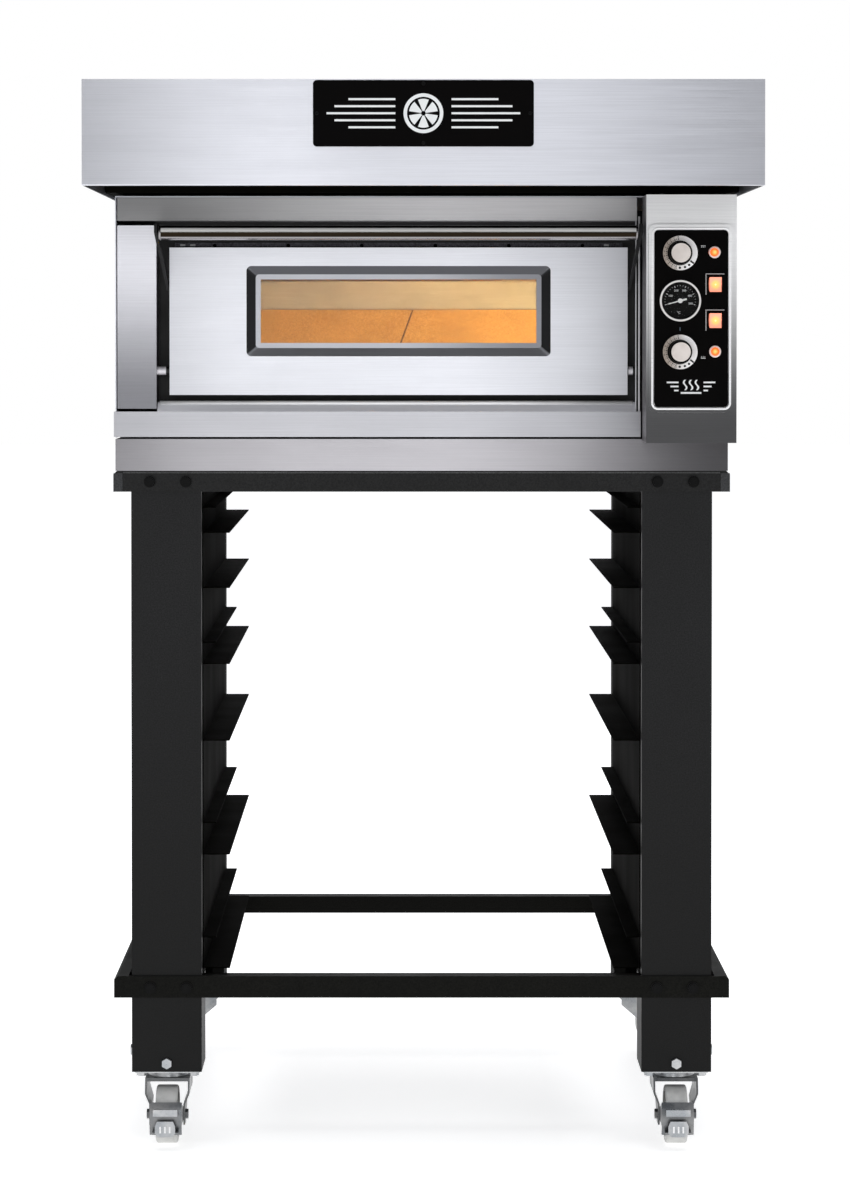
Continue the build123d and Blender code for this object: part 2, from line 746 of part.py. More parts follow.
shaft_length = 24.0
for name, z in knob_zs.items():
    with BuildPart() as knob:
        rod((knob_x, plate_face - 1.0, z), (0, -1, 0), 23.5, 3.0)
        with BuildSketch(Plane.XZ.offset(-(plate_face - 4.0))):
            with Locations((knob_x, z)):
                Circle(16.0)
        extrude(amount=12.0, taper=3.0)
        rod((knob_x, plate_face - 16.0, z), (0, -1, 0), 13.0, 3.0)
        rod((knob_x, plate_face - 1.0, z), (0, 1, 0), shaft_radius, shaft_length)
    save(knob.part, f"knob_{name}")

with BuildPart() as thermostats:
    for z in knob_zs.values():
        block((knob_x - 20, knob_x + 20), (plate_face + 6, plate_face + 40), (z - 20, z + 20))
        rod((knob_x, plate_face + 5, z), (0, 1, 0), shaft_radius + running_clearance, 25.0, Mode.SUBTRACT)
        rod((knob_x, plate_face + 2, z), (0, 1, 0), 8.0, 4.0)
        rod((knob_x, plate_face + 1, z), (0, 1, 0), shaft_radius + running_clearance, 10.0, Mode.SUBTRACT)
save(thermostats.part, "thermostats")

rocker_pivot_y = plate_face + 3.0
rocker_pin_radius = 1.5
rocker_tilt = 7.0
rocker_half = 8.0
with BuildPart() as switch_bezels:
    for z in switch_zs.values():
        with BuildSketch(Plane.XZ.offset(-plate_face)):
            with Locations((switch_x, z)):
                RectangleRounded(27.0, 30.0, 2.0)
                Rectangle(*switch_hole, mode=Mode.SUBTRACT)
        extrude(amount=2.5)
        with BuildSketch(Plane.XZ.offset(-plate_face)):
            with Locations((switch_x, z)):
                Rectangle(23.0, 26.0)
                Rectangle(*switch_hole, mode=Mode.SUBTRACT)
        extrude(amount=-20.0)
        block((switch_x - 10, switch_x + 10), (plate_face + 18, plate_face + 20), (z - 12, z + 12))
        rod((switch_x - 12, rocker_pivot_y, z), (1, 0, 0), rocker_pin_radius + running_clearance, 24.0,
            Mode.SUBTRACT)
save(switch_bezels.part, "switch_bezels")

for name, z in switch_zs.items():
    with BuildPart() as rocker:
        lean = (0, cos(radians(rocker_tilt)), sin(radians(rocker_tilt)))
        tilted = Plane(origin=(switch_x - rocker_half, rocker_pivot_y, z), x_dir=lean, z_dir=(1, 0, 0))
        with BuildSketch(tilted):
            with BuildLine():
                outline = Polyline((-8.0, -10.0), (3.0, -8.0), (8.0, 0.0), (3.0, 8.0), (-8.0, 10.0))
                ThreePointArc(outline @ 1, (-5.6, 0.0), outline @ 0)
            make_face()
        extrude(amount=2 * rocker_half)
        rod((switch_x - 10.4, rocker_pivot_y, z), (1, 0, 0), rocker_pin_radius, 20.8)
    save(rocker.part, f"rocker_{name}")

with BuildPart() as pilot_lamps:
    for x, z in lamp_spots:
        rod((x, plate_face - 1.6, z), (0, 1, 0), 7.5, 1.6)
        rod((x, plate_face, z), (0, 1, 0), 5.0, 22.0)
        rod((x, plate_face - 5.0, z), (0, 1, 0), 5.6, 4.0)
save(pilot_lamps.part, "pilot_lamps")

dial_face = plate_face - 1.0
with BuildPart() as thermometer_case:
    rod((knob_x, plate_face - 7.0, dial_z), (0, 1, 0), 28.0, 7.0)
    rod((knob_x, plate_face, dial_z), (0, 1, 0), 25.0, 22.0)
    rod((knob_x, plate_face - 8.0, dial_z), (0, 1, 0), 25.0, dial_face - plate_face + 8.0, Mode.SUBTRACT)
    rod((knob_x, dial_face - 1, dial_z), (0, 1, 0), 1.5 + running_clearance, 8.0, Mode.SUBTRACT)
save(thermometer_case.part, "thermometer_case")

needle_angle = radians(195.0)   # direction of the pointer at rest, anticlockwise from +X
needle_plane = Plane(
    origin=(knob_x, dial_face - 1.2, dial_z),
    x_dir=(cos(needle_angle), 0, sin(needle_angle)),
    z_dir=(0, -1, 0),
)
with BuildPart() as thermometer_needle:
    with BuildSketch(needle_plane):
        with BuildLine():
            Polyline((-9.0, -1.3), (-9.0, 1.3), (18.0, 0.35), (18.0, -0.35), close=True)
        make_face()
        Circle(3.2)
    extrude(amount=1.0)
    rod((knob_x, dial_face - 1.2, dial_z), (0, 1, 0), 1.5, 6.0)
save(thermometer_needle.part, "thermometer_needle")

with BuildPart() as terminal_block:
    block((345.0, 405.0), (440.0, 480.0), (cover_bottom, cover_bottom + 10.0))
    with Locations(*[(351.0 + 12.0 * index, 460.0, cover_bottom + 21.0) for index in range(5)]):
        Box(10.0, 30.0, 22.0)
save(terminal_block.part, "terminal_block")

with BuildPart() as cable_gland:
    rod((gland_x, rear_inside - 10, gland_z), (0, 1, 0), 12.5, sheet + 10)
    with BuildSketch(Plane(origin=(gland_x, oven_rear, gland_z), z_dir=(0, 1, 0))):
        RegularPolygon(16.0, 6)
    extrude(amount=6.0)
    with BuildSketch(Plane(origin=(gland_x, rear_inside, gland_z), z_dir=(0, -1, 0))):
        RegularPolygon(17.0, 6)
    extrude(amount=5.0)
    rod((gland_x, oven_rear + 6.0, gland_z), (0, 1, 0), 12.0, 6.0)
    rod((gland_x, rear_inside - 12, gland_z), (0, 1, 0), 7.0, 40.0, Mode.SUBTRACT)
save(cable_gland.part, "cable_gland")

# ---- hood ----
half_hood = hood_width / 2
flue_y = 380.0
flue_radius = 75.0
flue_height = 40.0
with BuildPart() as hood_shell:
    tray((-half_hood, half_hood), (hood_front, rear), (hood_bottom, hood_top), sheet, "-z")
    block((-half_hood, half_hood), (hood_front, hood_front + 16), (hood_bottom, hood_bottom + sheet))
    rod((0, flue_y, hood_top - 5), (0, 0, 1), flue_radius - sheet, 10.0, Mode.SUBTRACT)
save(hood_shell.part, "hood_shell")

baffle_rear = rear - sheet - 1.0
with BuildPart() as hood_baffle:
    with BuildSketch(Plane.YZ.offset(-half_hood + sheet + 0.5)):
        with BuildLine():
            Polyline(
                (baffle_rear, hood_bottom + 4.0),
                (front - 20.0, hood_bottom + 4.0),
                (front - 120.0, hood_bottom + 84.0),
                (front - 120.0, hood_bottom + 85.9),
                (front - 19.5, hood_bottom + 5.5),
                (baffle_rear, hood_bottom + 5.5),
                close=True,
            )
        make_face()
    extrude(amount=2 * (half_hood - sheet - 0.5))
save(hood_baffle.part, "hood_baffle")

with BuildPart() as flue_collar:
    rod((0, flue_y, hood_top), (0, 0, 1), flue_radius, flue_height)
    rod((0, flue_y, hood_top), (0, 0, 1), flue_radius + 20, sheet)
    rod((0, flue_y, hood_top - 1), (0, 0, 1), flue_radius - sheet, flue_height + 2, Mode.SUBTRACT)
save(flue_collar.part, "flue_collar")

with BuildPart() as nameplate:
    with BuildSketch(Plane.XZ.offset(-hood_front)):
        with Locations((0, 1410.0)):
            RectangleRounded(283.0, 85.0, 5.0)
    extrude(amount=2.0)
save(nameplate.part, "nameplate")
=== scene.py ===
"""Looks of the electric deck oven on its wheeled tray stand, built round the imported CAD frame."""

import math

import bmesh
import bpy
from mathutils import Matrix, Vector


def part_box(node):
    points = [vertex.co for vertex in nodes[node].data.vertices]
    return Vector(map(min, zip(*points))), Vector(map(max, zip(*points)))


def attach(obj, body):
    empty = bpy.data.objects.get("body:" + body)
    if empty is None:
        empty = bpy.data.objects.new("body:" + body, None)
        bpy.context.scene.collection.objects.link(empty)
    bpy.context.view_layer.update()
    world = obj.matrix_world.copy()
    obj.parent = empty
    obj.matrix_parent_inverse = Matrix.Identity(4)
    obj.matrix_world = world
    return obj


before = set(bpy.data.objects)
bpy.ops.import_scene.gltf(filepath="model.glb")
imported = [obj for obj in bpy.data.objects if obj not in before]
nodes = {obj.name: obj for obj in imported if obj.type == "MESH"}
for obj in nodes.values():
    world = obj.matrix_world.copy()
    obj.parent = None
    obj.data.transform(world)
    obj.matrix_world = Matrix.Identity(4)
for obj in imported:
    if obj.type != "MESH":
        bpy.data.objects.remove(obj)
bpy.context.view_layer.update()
MM = 0.001
PRINT = 0.15 * MM  # thickness of printed marks
SIDES = ("left", "right")
WHITE = (1.0, 1.0, 1.0)


def grey(level):
    return (level, level, level)


def toned(color, factor):
    """The colour made lighter or darker, up to full brightness."""
    return tuple(min(1.0, c * factor) for c in color)


def middle(node):
    low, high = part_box(node)
    return (low + high) / 2


# ---- node materials
class Look:
    """A node material built round one Principled shader, in object coordinates, which are metres.

    Scales of noise and cells are counts per metre.
    """

    def __init__(self, name, color, roughness, metallic=0.0, **sockets):
        self.material = bpy.data.materials.new(name)
        self.material.use_nodes = True
        self.tree = self.material.node_tree
        self.shader = self.tree.nodes["Principled BSDF"]
        self.set("Base Color", (*color, 1.0))
        self.set("Roughness", roughness)
        self.set("Metallic", metallic)
        for socket, value in sockets.items():
            self.set(socket.replace("_", " "), value)
        coords = self.tree.nodes.new("ShaderNodeTexCoord")
        self.place = coords.outputs["Object"]

    def set(self, socket, value):
        self.shader.inputs[socket].default_value = value

    def link(self, source, socket):
        self.tree.links.new(source, self.shader.inputs[socket])

    def node(self, kind, inputs=(), **settings):
        made = self.tree.nodes.new("ShaderNode" + kind)
        for key, value in settings.items():
            setattr(made, key, value)
        for slot, value in dict(inputs).items():
            if isinstance(value, bpy.types.NodeSocket):
                self.tree.links.new(value, made.inputs[slot])
            else:
                made.inputs[slot].default_value = value
        return made

    def scaled(self, scale, shift=(0, 0, 0)):
        size = (scale,) * 3 if isinstance(scale, float) else scale
        return self.node("Mapping", {"Vector": self.place, "Scale": size, "Location": shift}).outputs[0]

    def noise(self, scale, detail=3.0, roughness=0.5, shift=(0, 0, 0)):
        return self.node("TexNoise", {"Vector": self.scaled(scale, shift), "Scale": 1.0, "Detail": detail,
                                      "Roughness": roughness}).outputs[0]

    def cells(self, scale):
        return self.node("TexVoronoi", {"Vector": self.scaled(scale), "Scale": 1.0}).outputs[0]

    def spread(self, value, low=0.3, high=0.7, to_low=0.0, to_high=1.0):
        """A soft step from to_low to to_high, while value goes from low to high."""
        made = self.node("MapRange", {0: value, 1: low, 2: high, 3: to_low, 4: to_high})
        made.interpolation_type = "SMOOTHSTEP"
        return made.outputs[0]

    def math(self, kind, a, b=0.0):
        return self.node("Math", {0: a, 1: b}, operation=kind).outputs[0]

    def times(self, a, b):
        return self.math("MULTIPLY", a, b)

    def mix(self, factor, a, b, blend="MIX"):
        made = self.node("Mix", data_type="RGBA", blend_type=blend)
        for slot, value in ((0, factor), (6, a), (7, b)):
            if isinstance(value, bpy.types.NodeSocket):
                self.tree.links.new(value, made.inputs[slot])
            else:
                made.inputs[slot].default_value = value if slot == 0 else (*value, 1.0)
        return made.outputs[2]

    def shaded(self, tone, shade):
        return self.mix(1.0, tone, shade, "MULTIPLY")

    def paint(self, tone):
        self.link(tone, "Base Color")

    def gloss(self, pattern, low, high):
        """Roughness that wanders between two values with a noise pattern."""
        self.link(self.spread(pattern, to_low=low, to_high=high), "Roughness")

    def bump(self, height, strength, distance):
        made = self.node("Bump", {"Height": height, "Strength": strength, "Distance": distance})
        self.link(made.outputs[0], "Normal")

    def axis(self, name):
        return self.node("SeparateXYZ", {0: self.place}).outputs[name]

    def off(self, name, centre):
        """Distance from a plane that stands square to one axis."""
        return self.math("ABSOLUTE", self.math("SUBTRACT", self.axis(name), centre))

    def tilt(self, name):
        """How far a face looks along one axis, from -1 to 1."""
        normal = self.node("NewGeometry").outputs["Normal"]
        return self.node("SeparateXYZ", {0: normal}).outputs[name]

    def facing(self, name):
        return self.math("ABSOLUTE", self.tilt(name))


def brushed(name, color, roughness, grain=0.035, cloud=0.03, anisotropy=0.6, shade=None, metal=None):
    """Sheet steel with a grain that runs level on upright faces and along X on flat ones."""
    look = Look(name, color, roughness, 1.0, Anisotropic=anisotropy, Anisotropic_Rotation=0.25)
    upright = look.noise((7.0, 7.0, 900.0), 4.0, 0.7)
    flat = look.noise((7.0, 900.0, 7.0), 4.0, 0.7)
    streak = look.node("Mix", {0: look.spread(look.facing("Z"), 0.6, 0.8), 2: upright, 3: flat}).outputs[0]
    broad = look.noise((2.2, 2.2, 5.0), 3.0, 0.55)
    wisp = look.noise((6.0, 6.0, 45.0), 3.0, 0.6, (3.0, 1.0, 7.0))
    tone = look.mix(look.spread(broad), toned(color, 1.0 - cloud * 2.2), toned(color, 1.0 + cloud))
    tone = look.shaded(tone, look.mix(look.spread(streak, 0.35, 0.65), grey(1.0 - grain * 2.4), WHITE))
    if shade:
        tone = look.shaded(tone, shade(look))
    if metal:
        look.link(metal(look), "Metallic")
    look.paint(tone)
    rough = look.math("ADD", look.spread(streak, 0.3, 0.7, roughness - 0.03, roughness + 0.04),
                      look.spread(wisp, 0.3, 0.7, -0.01, 0.015))
    look.link(rough, "Roughness")
    look.bump(streak, 0.1, 0.0003)
    normal = look.node("NewGeometry").outputs["Normal"]
    level = look.node("VectorMath", {0: (0.0, 0.0, 1.0), 1: normal}, operation="CROSS_PRODUCT")
    along_x = look.node("CombineXYZ", {0: look.spread(look.facing("Z"), 0.95, 0.98)})
    tangent = look.node("VectorMath", {0: level.outputs[0], 1: along_x.outputs[0]}, operation="ADD")
    look.link(tangent.outputs[0], "Tangent")
    return look.material


def powder_coat(name, color, roughness, specular=0.3, foot=1.0):
    """Textured paint; foot is the share of its colour that is left near the floor, a painted shade."""
    look = Look(name, color, roughness, 0.0, Specular_IOR_Level=specular)
    peel = look.noise(420.0, 2.0, 0.5)
    broad = look.noise((7.0, 7.0, 3.0), 4.0, 0.6)
    worn = look.spread(look.noise((38.0, 38.0, 16.0), 5.0, 0.75), 0.62, 0.74)
    tone = look.mix(look.spread(broad), toned(color, 0.8), toned(color, 1.2))
    tone = look.mix(look.times(worn, 0.25), tone, toned(color, 2.2))
    fleck = look.noise(520.0, 3.0, 0.7)
    tone = look.shaded(tone, look.mix(look.spread(fleck), grey(0.55), grey(1.5)))
    if foot < 1.0:
        # Painted shade: darker towards the floor.
        dull = look.mix(look.spread(look.axis("Z"), 0.15, 0.85), (foot, foot, foot * 0.92), WHITE)
        tone = look.shaded(tone, dull)
    look.paint(tone)
    look.gloss(broad, roughness - 0.05, roughness + 0.07)
    look.bump(peel, 0.18, 0.0004)
    return look.material


def zinc_plate(name="zinc_plate", level=1.0):
    """Patchy zinc plate with dull grey flecks; level darkens it as a painted shade for the forks and pedals.
    """
    look = Look(name, toned((0.46, 0.47, 0.48), level), 0.3, 1.0)
    patch = look.noise(28.0, 4.0, 0.6)
    fine = look.noise(260.0, 3.0, 0.6)
    tone = look.mix(look.spread(patch), toned((0.34, 0.36, 0.38), level), toned(grey(0.60), level))
    tone = look.mix(look.times(look.spread(fine, 0.55, 0.75), 0.35), tone, toned((0.24, 0.24, 0.23), level))
    look.paint(tone)
    look.link(look.spread(patch, 0.25, 0.75, 0.24, 0.42), "Roughness")
    look.bump(fine, 0.15, 0.0003)
    return look.material


def moulded(name, color, roughness, speckle=0.08, **sockets):
    """Moulded plastic or rubber with a fine skin and slight unevenness in colour and gloss."""
    look = Look(name, color, roughness, 0.0, **sockets)
    skin = look.noise(600.0, 2.0, 0.5)
    broad = look.noise(45.0, 3.0, 0.6)
    dark, light = toned(color, 1.0 - speckle), toned(color, 1.0 + speckle * 0.5)
    look.paint(look.mix(look.spread(broad), dark, light))
    look.gloss(broad, roughness - 0.06, roughness + 0.08)
    look.bump(skin, 0.1, 0.0002)
    return look.material


def fired_stone():
    """Hearth stone, gritty and finely pored; its warm orange is partly its own colour and partly a painted
    glow of the lit chamber.
    """
    look = Look("fired_stone", (0.74, 0.47, 0.24), 0.92)
    grit = look.noise(420.0, 4.0, 0.65)
    pores = look.cells(260.0)
    broad = look.noise(9.0, 4.0, 0.6)
    # Partly painted light: the orange stands in part for the chamber's warm glow.
    tone = look.mix(look.spread(broad), (0.64, 0.35, 0.12), (0.76, 0.44, 0.15))
    tone = look.mix(look.spread(grit, 0.35, 0.7), tone, (0.84, 0.52, 0.20))
    tone = look.mix(look.times(look.spread(pores, 0.22, 0.1), 0.4), tone, (0.42, 0.20, 0.09))
    look.paint(tone)
    look.bump(look.math("ADD", grit, look.times(pores, 0.6)), 0.35, 0.0008)
    return look.material


def tinted_steel(mouth_y):
    """Chamber sheet: aluminised steel that heat has turned straw and tan, with its front edge painted black
    as painted shade.
    """
    look = Look("heat_tinted_steel", (0.72, 0.66, 0.61), 0.48, 0.1)
    band = look.noise((4.0, 4.0, 7.0), 4.0, 0.6)
    grain = look.noise((9.0, 9.0, 500.0), 4.0, 0.7)
    tone = look.mix(look.spread(band), (0.64, 0.62, 0.61), (0.74, 0.735, 0.72))
    tone = look.mix(look.times(look.spread(grain, 0.35, 0.7), 0.3), tone, (0.54, 0.49, 0.44))
    # Painted shade: black in front of this plane.
    behind_frame = look.spread(look.axis("Y"), mouth_y + 0.004, mouth_y + 0.006)
    look.paint(look.mix(behind_frame, grey(0.012), tone))
    look.gloss(band, 0.42, 0.6)
    look.bump(grain, 0.12, 0.0004)
    return look.material


def mineral_wool(mouth_y):
    """Stone wool, painted black over its front 100 mm as painted shade."""
    look = Look("mineral_wool", (0.66, 0.60, 0.42), 0.95)
    fibre = look.noise((60.0, 60.0, 420.0), 5.0, 0.8)
    tuft = look.noise(90.0, 4.0, 0.7)
    tone = look.mix(look.spread(fibre), (0.50, 0.43, 0.26), (0.80, 0.74, 0.56))
    # Painted shade: black in front of this depth.
    past_wool_shade = look.spread(look.axis("Y"), mouth_y + 0.10, mouth_y + 0.11)
    look.paint(look.mix(past_wool_shade, grey(0.008), tone))
    look.bump(look.math("ADD", fibre, tuft), 0.6, 0.002)
    return look.material


def oxidised():
    """Heating rod with a mottled brown oxide skin."""
    look = Look("oxidised_element", (0.16, 0.11, 0.09), 0.62, 0.55)
    scale = look.noise(140.0, 4.0, 0.7)
    look.paint(look.mix(look.spread(scale), (0.09, 0.07, 0.065), (0.30, 0.17, 0.11)))
    look.gloss(scale, 0.5, 0.75)
    look.bump(scale, 0.25, 0.0004)
    return look.material


def lit_glass(name, color, glow, strength):
    """Lamp glass lit from inside, with an uneven glow."""
    look = Look(name, color, 0.25, 0.0, Emission_Strength=strength)
    swirl = look.noise(330.0, 3.0, 0.6)
    patch = look.spread(swirl, 0.35, 0.65)
    look.link(look.mix(patch, glow, tuple(min(1.0, c * 1.5 + 0.12) for c in glow)), "Emission Color")
    look.paint(look.mix(patch, color, toned(color, 1.2)))
    look.bump(swirl, 0.15, 0.0003)
    return look.material


def pane(name, tint, roughness, ior=1.46):
    """Clear glass with a slight haze."""
    look = Look(name, tint, roughness, 0.0, Transmission_Weight=1.0, IOR=ior)
    haze = look.noise((14.0, 14.0, 22.0), 4.0, 0.65)
    look.link(look.spread(haze, 0.45, 0.8, roughness, roughness + 0.07), "Roughness")
    look.paint(look.mix(look.spread(haze, 0.4, 0.8), tint, toned(tint, 0.94)))
    return look.material


def fading(z_low, z_high, dark):
    """Painted shade: the lower part of an upright sheet is painted duller, by height."""
    def shade(look):
        return look.mix(look.spread(look.axis("Z"), z_low, z_high), (dark, dark, dark * 1.02), WHITE)
    return shade


def banded(node, levels):
    """Painted light and shade: evenly spaced brightness levels from a sheet's left edge to its right edge,
    softly joined.
    """
    low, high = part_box(node)

    def shade(look):
        along = look.node("MapRange", {0: look.axis("X"), 1: low.x, 2: high.x}).outputs[0]
        ramp = look.node("ValToRGB", {0: along})
        stops = ramp.color_ramp
        stops.interpolation = "B_SPLINE"
        while len(stops.elements) < len(levels):
            stops.elements.new(0.5)
        for index, level in enumerate(levels):
            stops.elements[index].position = index / (len(levels) - 1)
            stops.elements[index].color = (level, level, level, 1.0)
        return ramp.outputs[0]
    return shade


def pressed_door(look):
    """Painted light and shade: bands across the door sheet, a duller sunk field round the window, and dark
    slopes.
    """
    sideways = look.spread(look.facing("X"), 0.15, 0.35)
    downward = look.spread(look.times(look.tilt("Z"), -1.0), 0.15, 0.35)
    upward = look.spread(look.tilt("Z"), 0.15, 0.35)
    tone = banded("door_outer_panel", (0.74, 0.89, 0.92, 0.92, 0.92, 0.94, 1.0, 1.0, 0.93, 0.85, 0.60))(look)
    glass_low, glass_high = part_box("door_glass")
    middle_x, middle_z = (glass_low.x + glass_high.x) / 2, (glass_low.z + glass_high.z) / 2
    half_width, half_height = 205.0 * MM, 57.0 * MM
    sunk = look.times(look.math("LESS_THAN", look.off("X", middle_x), half_width),
                      look.math("LESS_THAN", look.off("Z", middle_z), half_height))
    duller = look.spread(look.axis("X"), middle_x, glass_high.x)
    tone = look.mix(sunk, tone, look.mix(duller, (0.58, 0.58, 0.59), (0.34, 0.34, 0.35)))
    tone = look.mix(sideways, tone, grey(0.03))
    tone = look.mix(downward, tone, (0.12, 0.12, 0.125))
    return look.mix(upward, tone, (0.62, 0.62, 0.63))


def hollow_hood(look):
    """Painted light and shade: bands outside, a painted highlight on the front edge, and painted shade on
    the inside and underside.
    """
    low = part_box("hood_shell")[0]
    tone = banded("hood_shell", (0.60, 0.74, 0.88, 0.82, 0.93, 1.02, 0.95, 0.76))(look)
    # Painted shade: faces that look downwards are near black.
    below = look.spread(look.tilt("Z"), -0.2, -0.5)
    tone = look.mix(below, tone, (0.012, 0.011, 0.010))
    # Painted highlight along the hood's lower front edge.
    edge = look.spread(look.axis("Z"), low.z + 1.6 * MM, low.z + 0.9 * MM)
    front = look.spread(look.axis("Y"), low.y + 0.02, low.y + 0.01)
    return look.mix(look.times(edge, front), tone, grey(0.95))


def lip_slope(look):
    """1 on the sloping drip lip below the door, 0 on its level and upright faces."""
    lean = look.tilt("Z")
    return look.times(look.spread(lean, 0.12, 0.3), look.spread(lean, 0.999, 0.98))


def lip_shade(look):
    """Painted light: the sloping lip is painted brighter; painted shade: the flat front under it fades
    towards both ends.
    """
    tone = banded("sill_trim", (0.80, 0.86, 0.93, 0.94, 0.94, 0.96, 1.0, 1.0, 0.97, 0.86, 0.54))(look)
    return look.mix(lip_slope(look), tone, grey(1.6))


def lip_metal(look):
    """Less metallic on the sloping lip, which scatters light instead of mirroring the door."""
    return look.spread(lip_slope(look), 0.0, 1.0, 1.0, 0.25)


def box_shade(look):
    """The box is painted duller towards its foot, and darker on its side towards the door."""
    low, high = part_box("control_plate")
    tone = fading(low.z - 0.03, high.z + 0.02, 0.095)(look)
    return look.mix(look.spread(look.tilt("X"), -0.4, -0.6), tone, (0.17, 0.16, 0.17))


def box_metal(look):
    """Less metallic near the top and on the side, where the sheet scatters light."""
    low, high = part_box("control_plate")
    upper = look.spread(look.axis("Z"), low.z + 0.10, high.z, 1.0, 0.3)
    side = look.spread(look.tilt("X"), -0.4, -0.6, 1.0, 0.35)
    return look.math("MINIMUM", upper, side)


def pin_look():
    """Hinge pins painted black as painted shade, with bright lengths by the left column and right of the
    door.
    """
    look = Look("hinge_pin_finish", grey(0.8), 0.35, 0.35)
    low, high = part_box("door_outer_panel")
    pin_mottle = look.noise(300.0, 3.0)
    left = look.spread(look.axis("X"), low.x - 5.5 * MM, low.x - 6.0 * MM)
    stud = look.spread(look.off("X", high.x + 5.0 * MM), 3.4 * MM, 2.8 * MM)
    bare = look.math("MAXIMUM", left, stud)
    # Painted shade: near black away from the bright lengths.
    dark = look.mix(pin_mottle, grey(0.008), grey(0.02))
    look.paint(look.mix(bare, dark, (0.95, 0.93, 0.97)))
    look.gloss(pin_mottle, 0.3, 0.45)
    look.bump(pin_mottle, 0.1, 0.0002)
    return look.material


def radius_from(look, x, z):
    """Distance from an axis that runs front to back through (x, z)."""
    dx = look.math("SUBTRACT", look.axis("X"), x)
    dz = look.math("SUBTRACT", look.axis("Z"), z)
    return look.math("SQRT", look.math("ADD", look.times(dx, dx), look.times(dz, dz)))


def knob_look(node):
    """Ivory skirt, painted lighter to the right as painted light and shade, and ivory cap with a black grip
    between them; the black reaches onto the skirt as a painted shadow.
    """
    centre = middle(node)
    look = Look(node + "_finish", (0.80, 0.76, 0.72), 0.36)
    radius = radius_from(look, centre.x, centre.z)
    skin = look.noise(500.0, 2.0)
    broad = look.noise(60.0, 3.0)
    pale = look.mix(look.spread(broad), (0.78, 0.72, 0.68), (0.88, 0.83, 0.79))
    # Painted light and shade: the skirt is lighter to the right and greyer to the left.
    across = look.spread(look.axis("X"), centre.x - 20.0 * MM, centre.x + 12.0 * MM)
    pale = look.shaded(pale, look.mix(across, (0.56, 0.50, 0.44), (1.22, 1.28, 1.34)))
    cap = look.mix(look.spread(broad), (0.74, 0.67, 0.62), (0.84, 0.77, 0.72))
    on_cap = look.math("LESS_THAN", radius, 13.1 * MM)
    # Painted shadow: the black circle is set left of the knob's centre and reaches past the grip.
    grip_and_shadow = look.math("LESS_THAN", radius_from(look, centre.x - 0.7 * MM, centre.z), 16.9 * MM)
    tone = look.mix(grip_and_shadow, pale, grey(0.0025))
    tone = look.mix(on_cap, tone, cap)
    matt = look.math("SUBTRACT", grip_and_shadow, on_cap)
    look.link(look.spread(matt, 0.0, 1.0, 0.5, 0.03), "Specular IOR Level")
    look.paint(tone)
    look.gloss(broad, 0.3, 0.44)
    look.bump(skin, 0.08, 0.0002)
    return look.material


def rocker_look(node):
    """Lit translucent rocker: yellow where the lamp sits, pink towards its edges, black at its sides."""
    centre = middle(node)
    look = Look(node + "_finish", (0.95, 0.50, 0.36), 0.3, 0.0, Emission_Strength=0.95)
    glow = look.spread(radius_from(look, centre.x, centre.z), 2.0 * MM, 9.0 * MM)
    swirl = look.times(look.noise(420.0, 3.0), 0.5)
    edge = look.math("MINIMUM", look.math("ADD", glow, look.times(swirl, 0.3)), 1.0)
    inside = look.spread(look.off("X", centre.x), 8.9 * MM, 8.5 * MM)
    lit = look.mix(edge, (1.0, 0.58, 0.10), (1.0, 0.30, 0.18))
    hot = look.spread(radius_from(look, centre.x, centre.z), 1.6 * MM, 0.9 * MM)
    lit = look.mix(hot, lit, (1.0, 0.86, 0.45))
    body = look.mix(edge, (0.5, 0.3, 0.1), (0.5, 0.22, 0.16))
    look.link(look.mix(inside, grey(0.0), lit), "Emission Color")
    look.paint(look.mix(inside, (0.01, 0.008, 0.008), body))
    look.bump(swirl, 0.1, 0.0002)
    return look.material


def pilot_spots():
    """Centres of the two pilot lamps as (x, z)."""
    low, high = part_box("pilot_lamps")
    return (high.x - 8.25 * MM, high.z - 7.5 * MM), (high.x - 7.5 * MM, low.z + 7.5 * MM)


def pilot_look():
    """Lit amber lens: yellow at its heart, red-orange at the rim."""
    look = Look("pilot_lens", (0.9, 0.34, 0.06), 0.25, 0.0, Emission_Strength=1.0)
    near = look.math("MINIMUM", *[radius_from(look, x, z) for x, z in pilot_spots()])
    swirl = look.times(look.noise(330.0, 3.0), 2.2 * MM)
    edge = look.spread(look.math("ADD", near, swirl), 1.6 * MM, 5.4 * MM)
    look.link(look.mix(edge, (1.0, 0.52, 0.10), (1.0, 0.13, 0.01)), "Emission Color")
    look.paint(look.mix(edge, (0.6, 0.3, 0.1), (0.5, 0.12, 0.02)))
    look.bump(swirl, 0.15, 0.0003)
    return look.material


def bezel_look():
    """Chrome case ring; inside it the case is black."""
    centre = middle("thermometer_case")
    look = Look("thermometer_chrome", (0.9, 0.88, 0.86), 0.12, 0.3)
    radius = radius_from(look, centre.x, centre.z)
    swirl = look.noise(200.0, 3.0)
    ring = look.spread(radius, 25.3 * MM, 25.8 * MM)
    look.paint(look.mix(ring, grey(0.004), (0.98, 0.95, 0.92)))
    look.gloss(swirl, 0.08, 0.18)
    look.bump(swirl, 0.05, 0.0002)
    return look.material


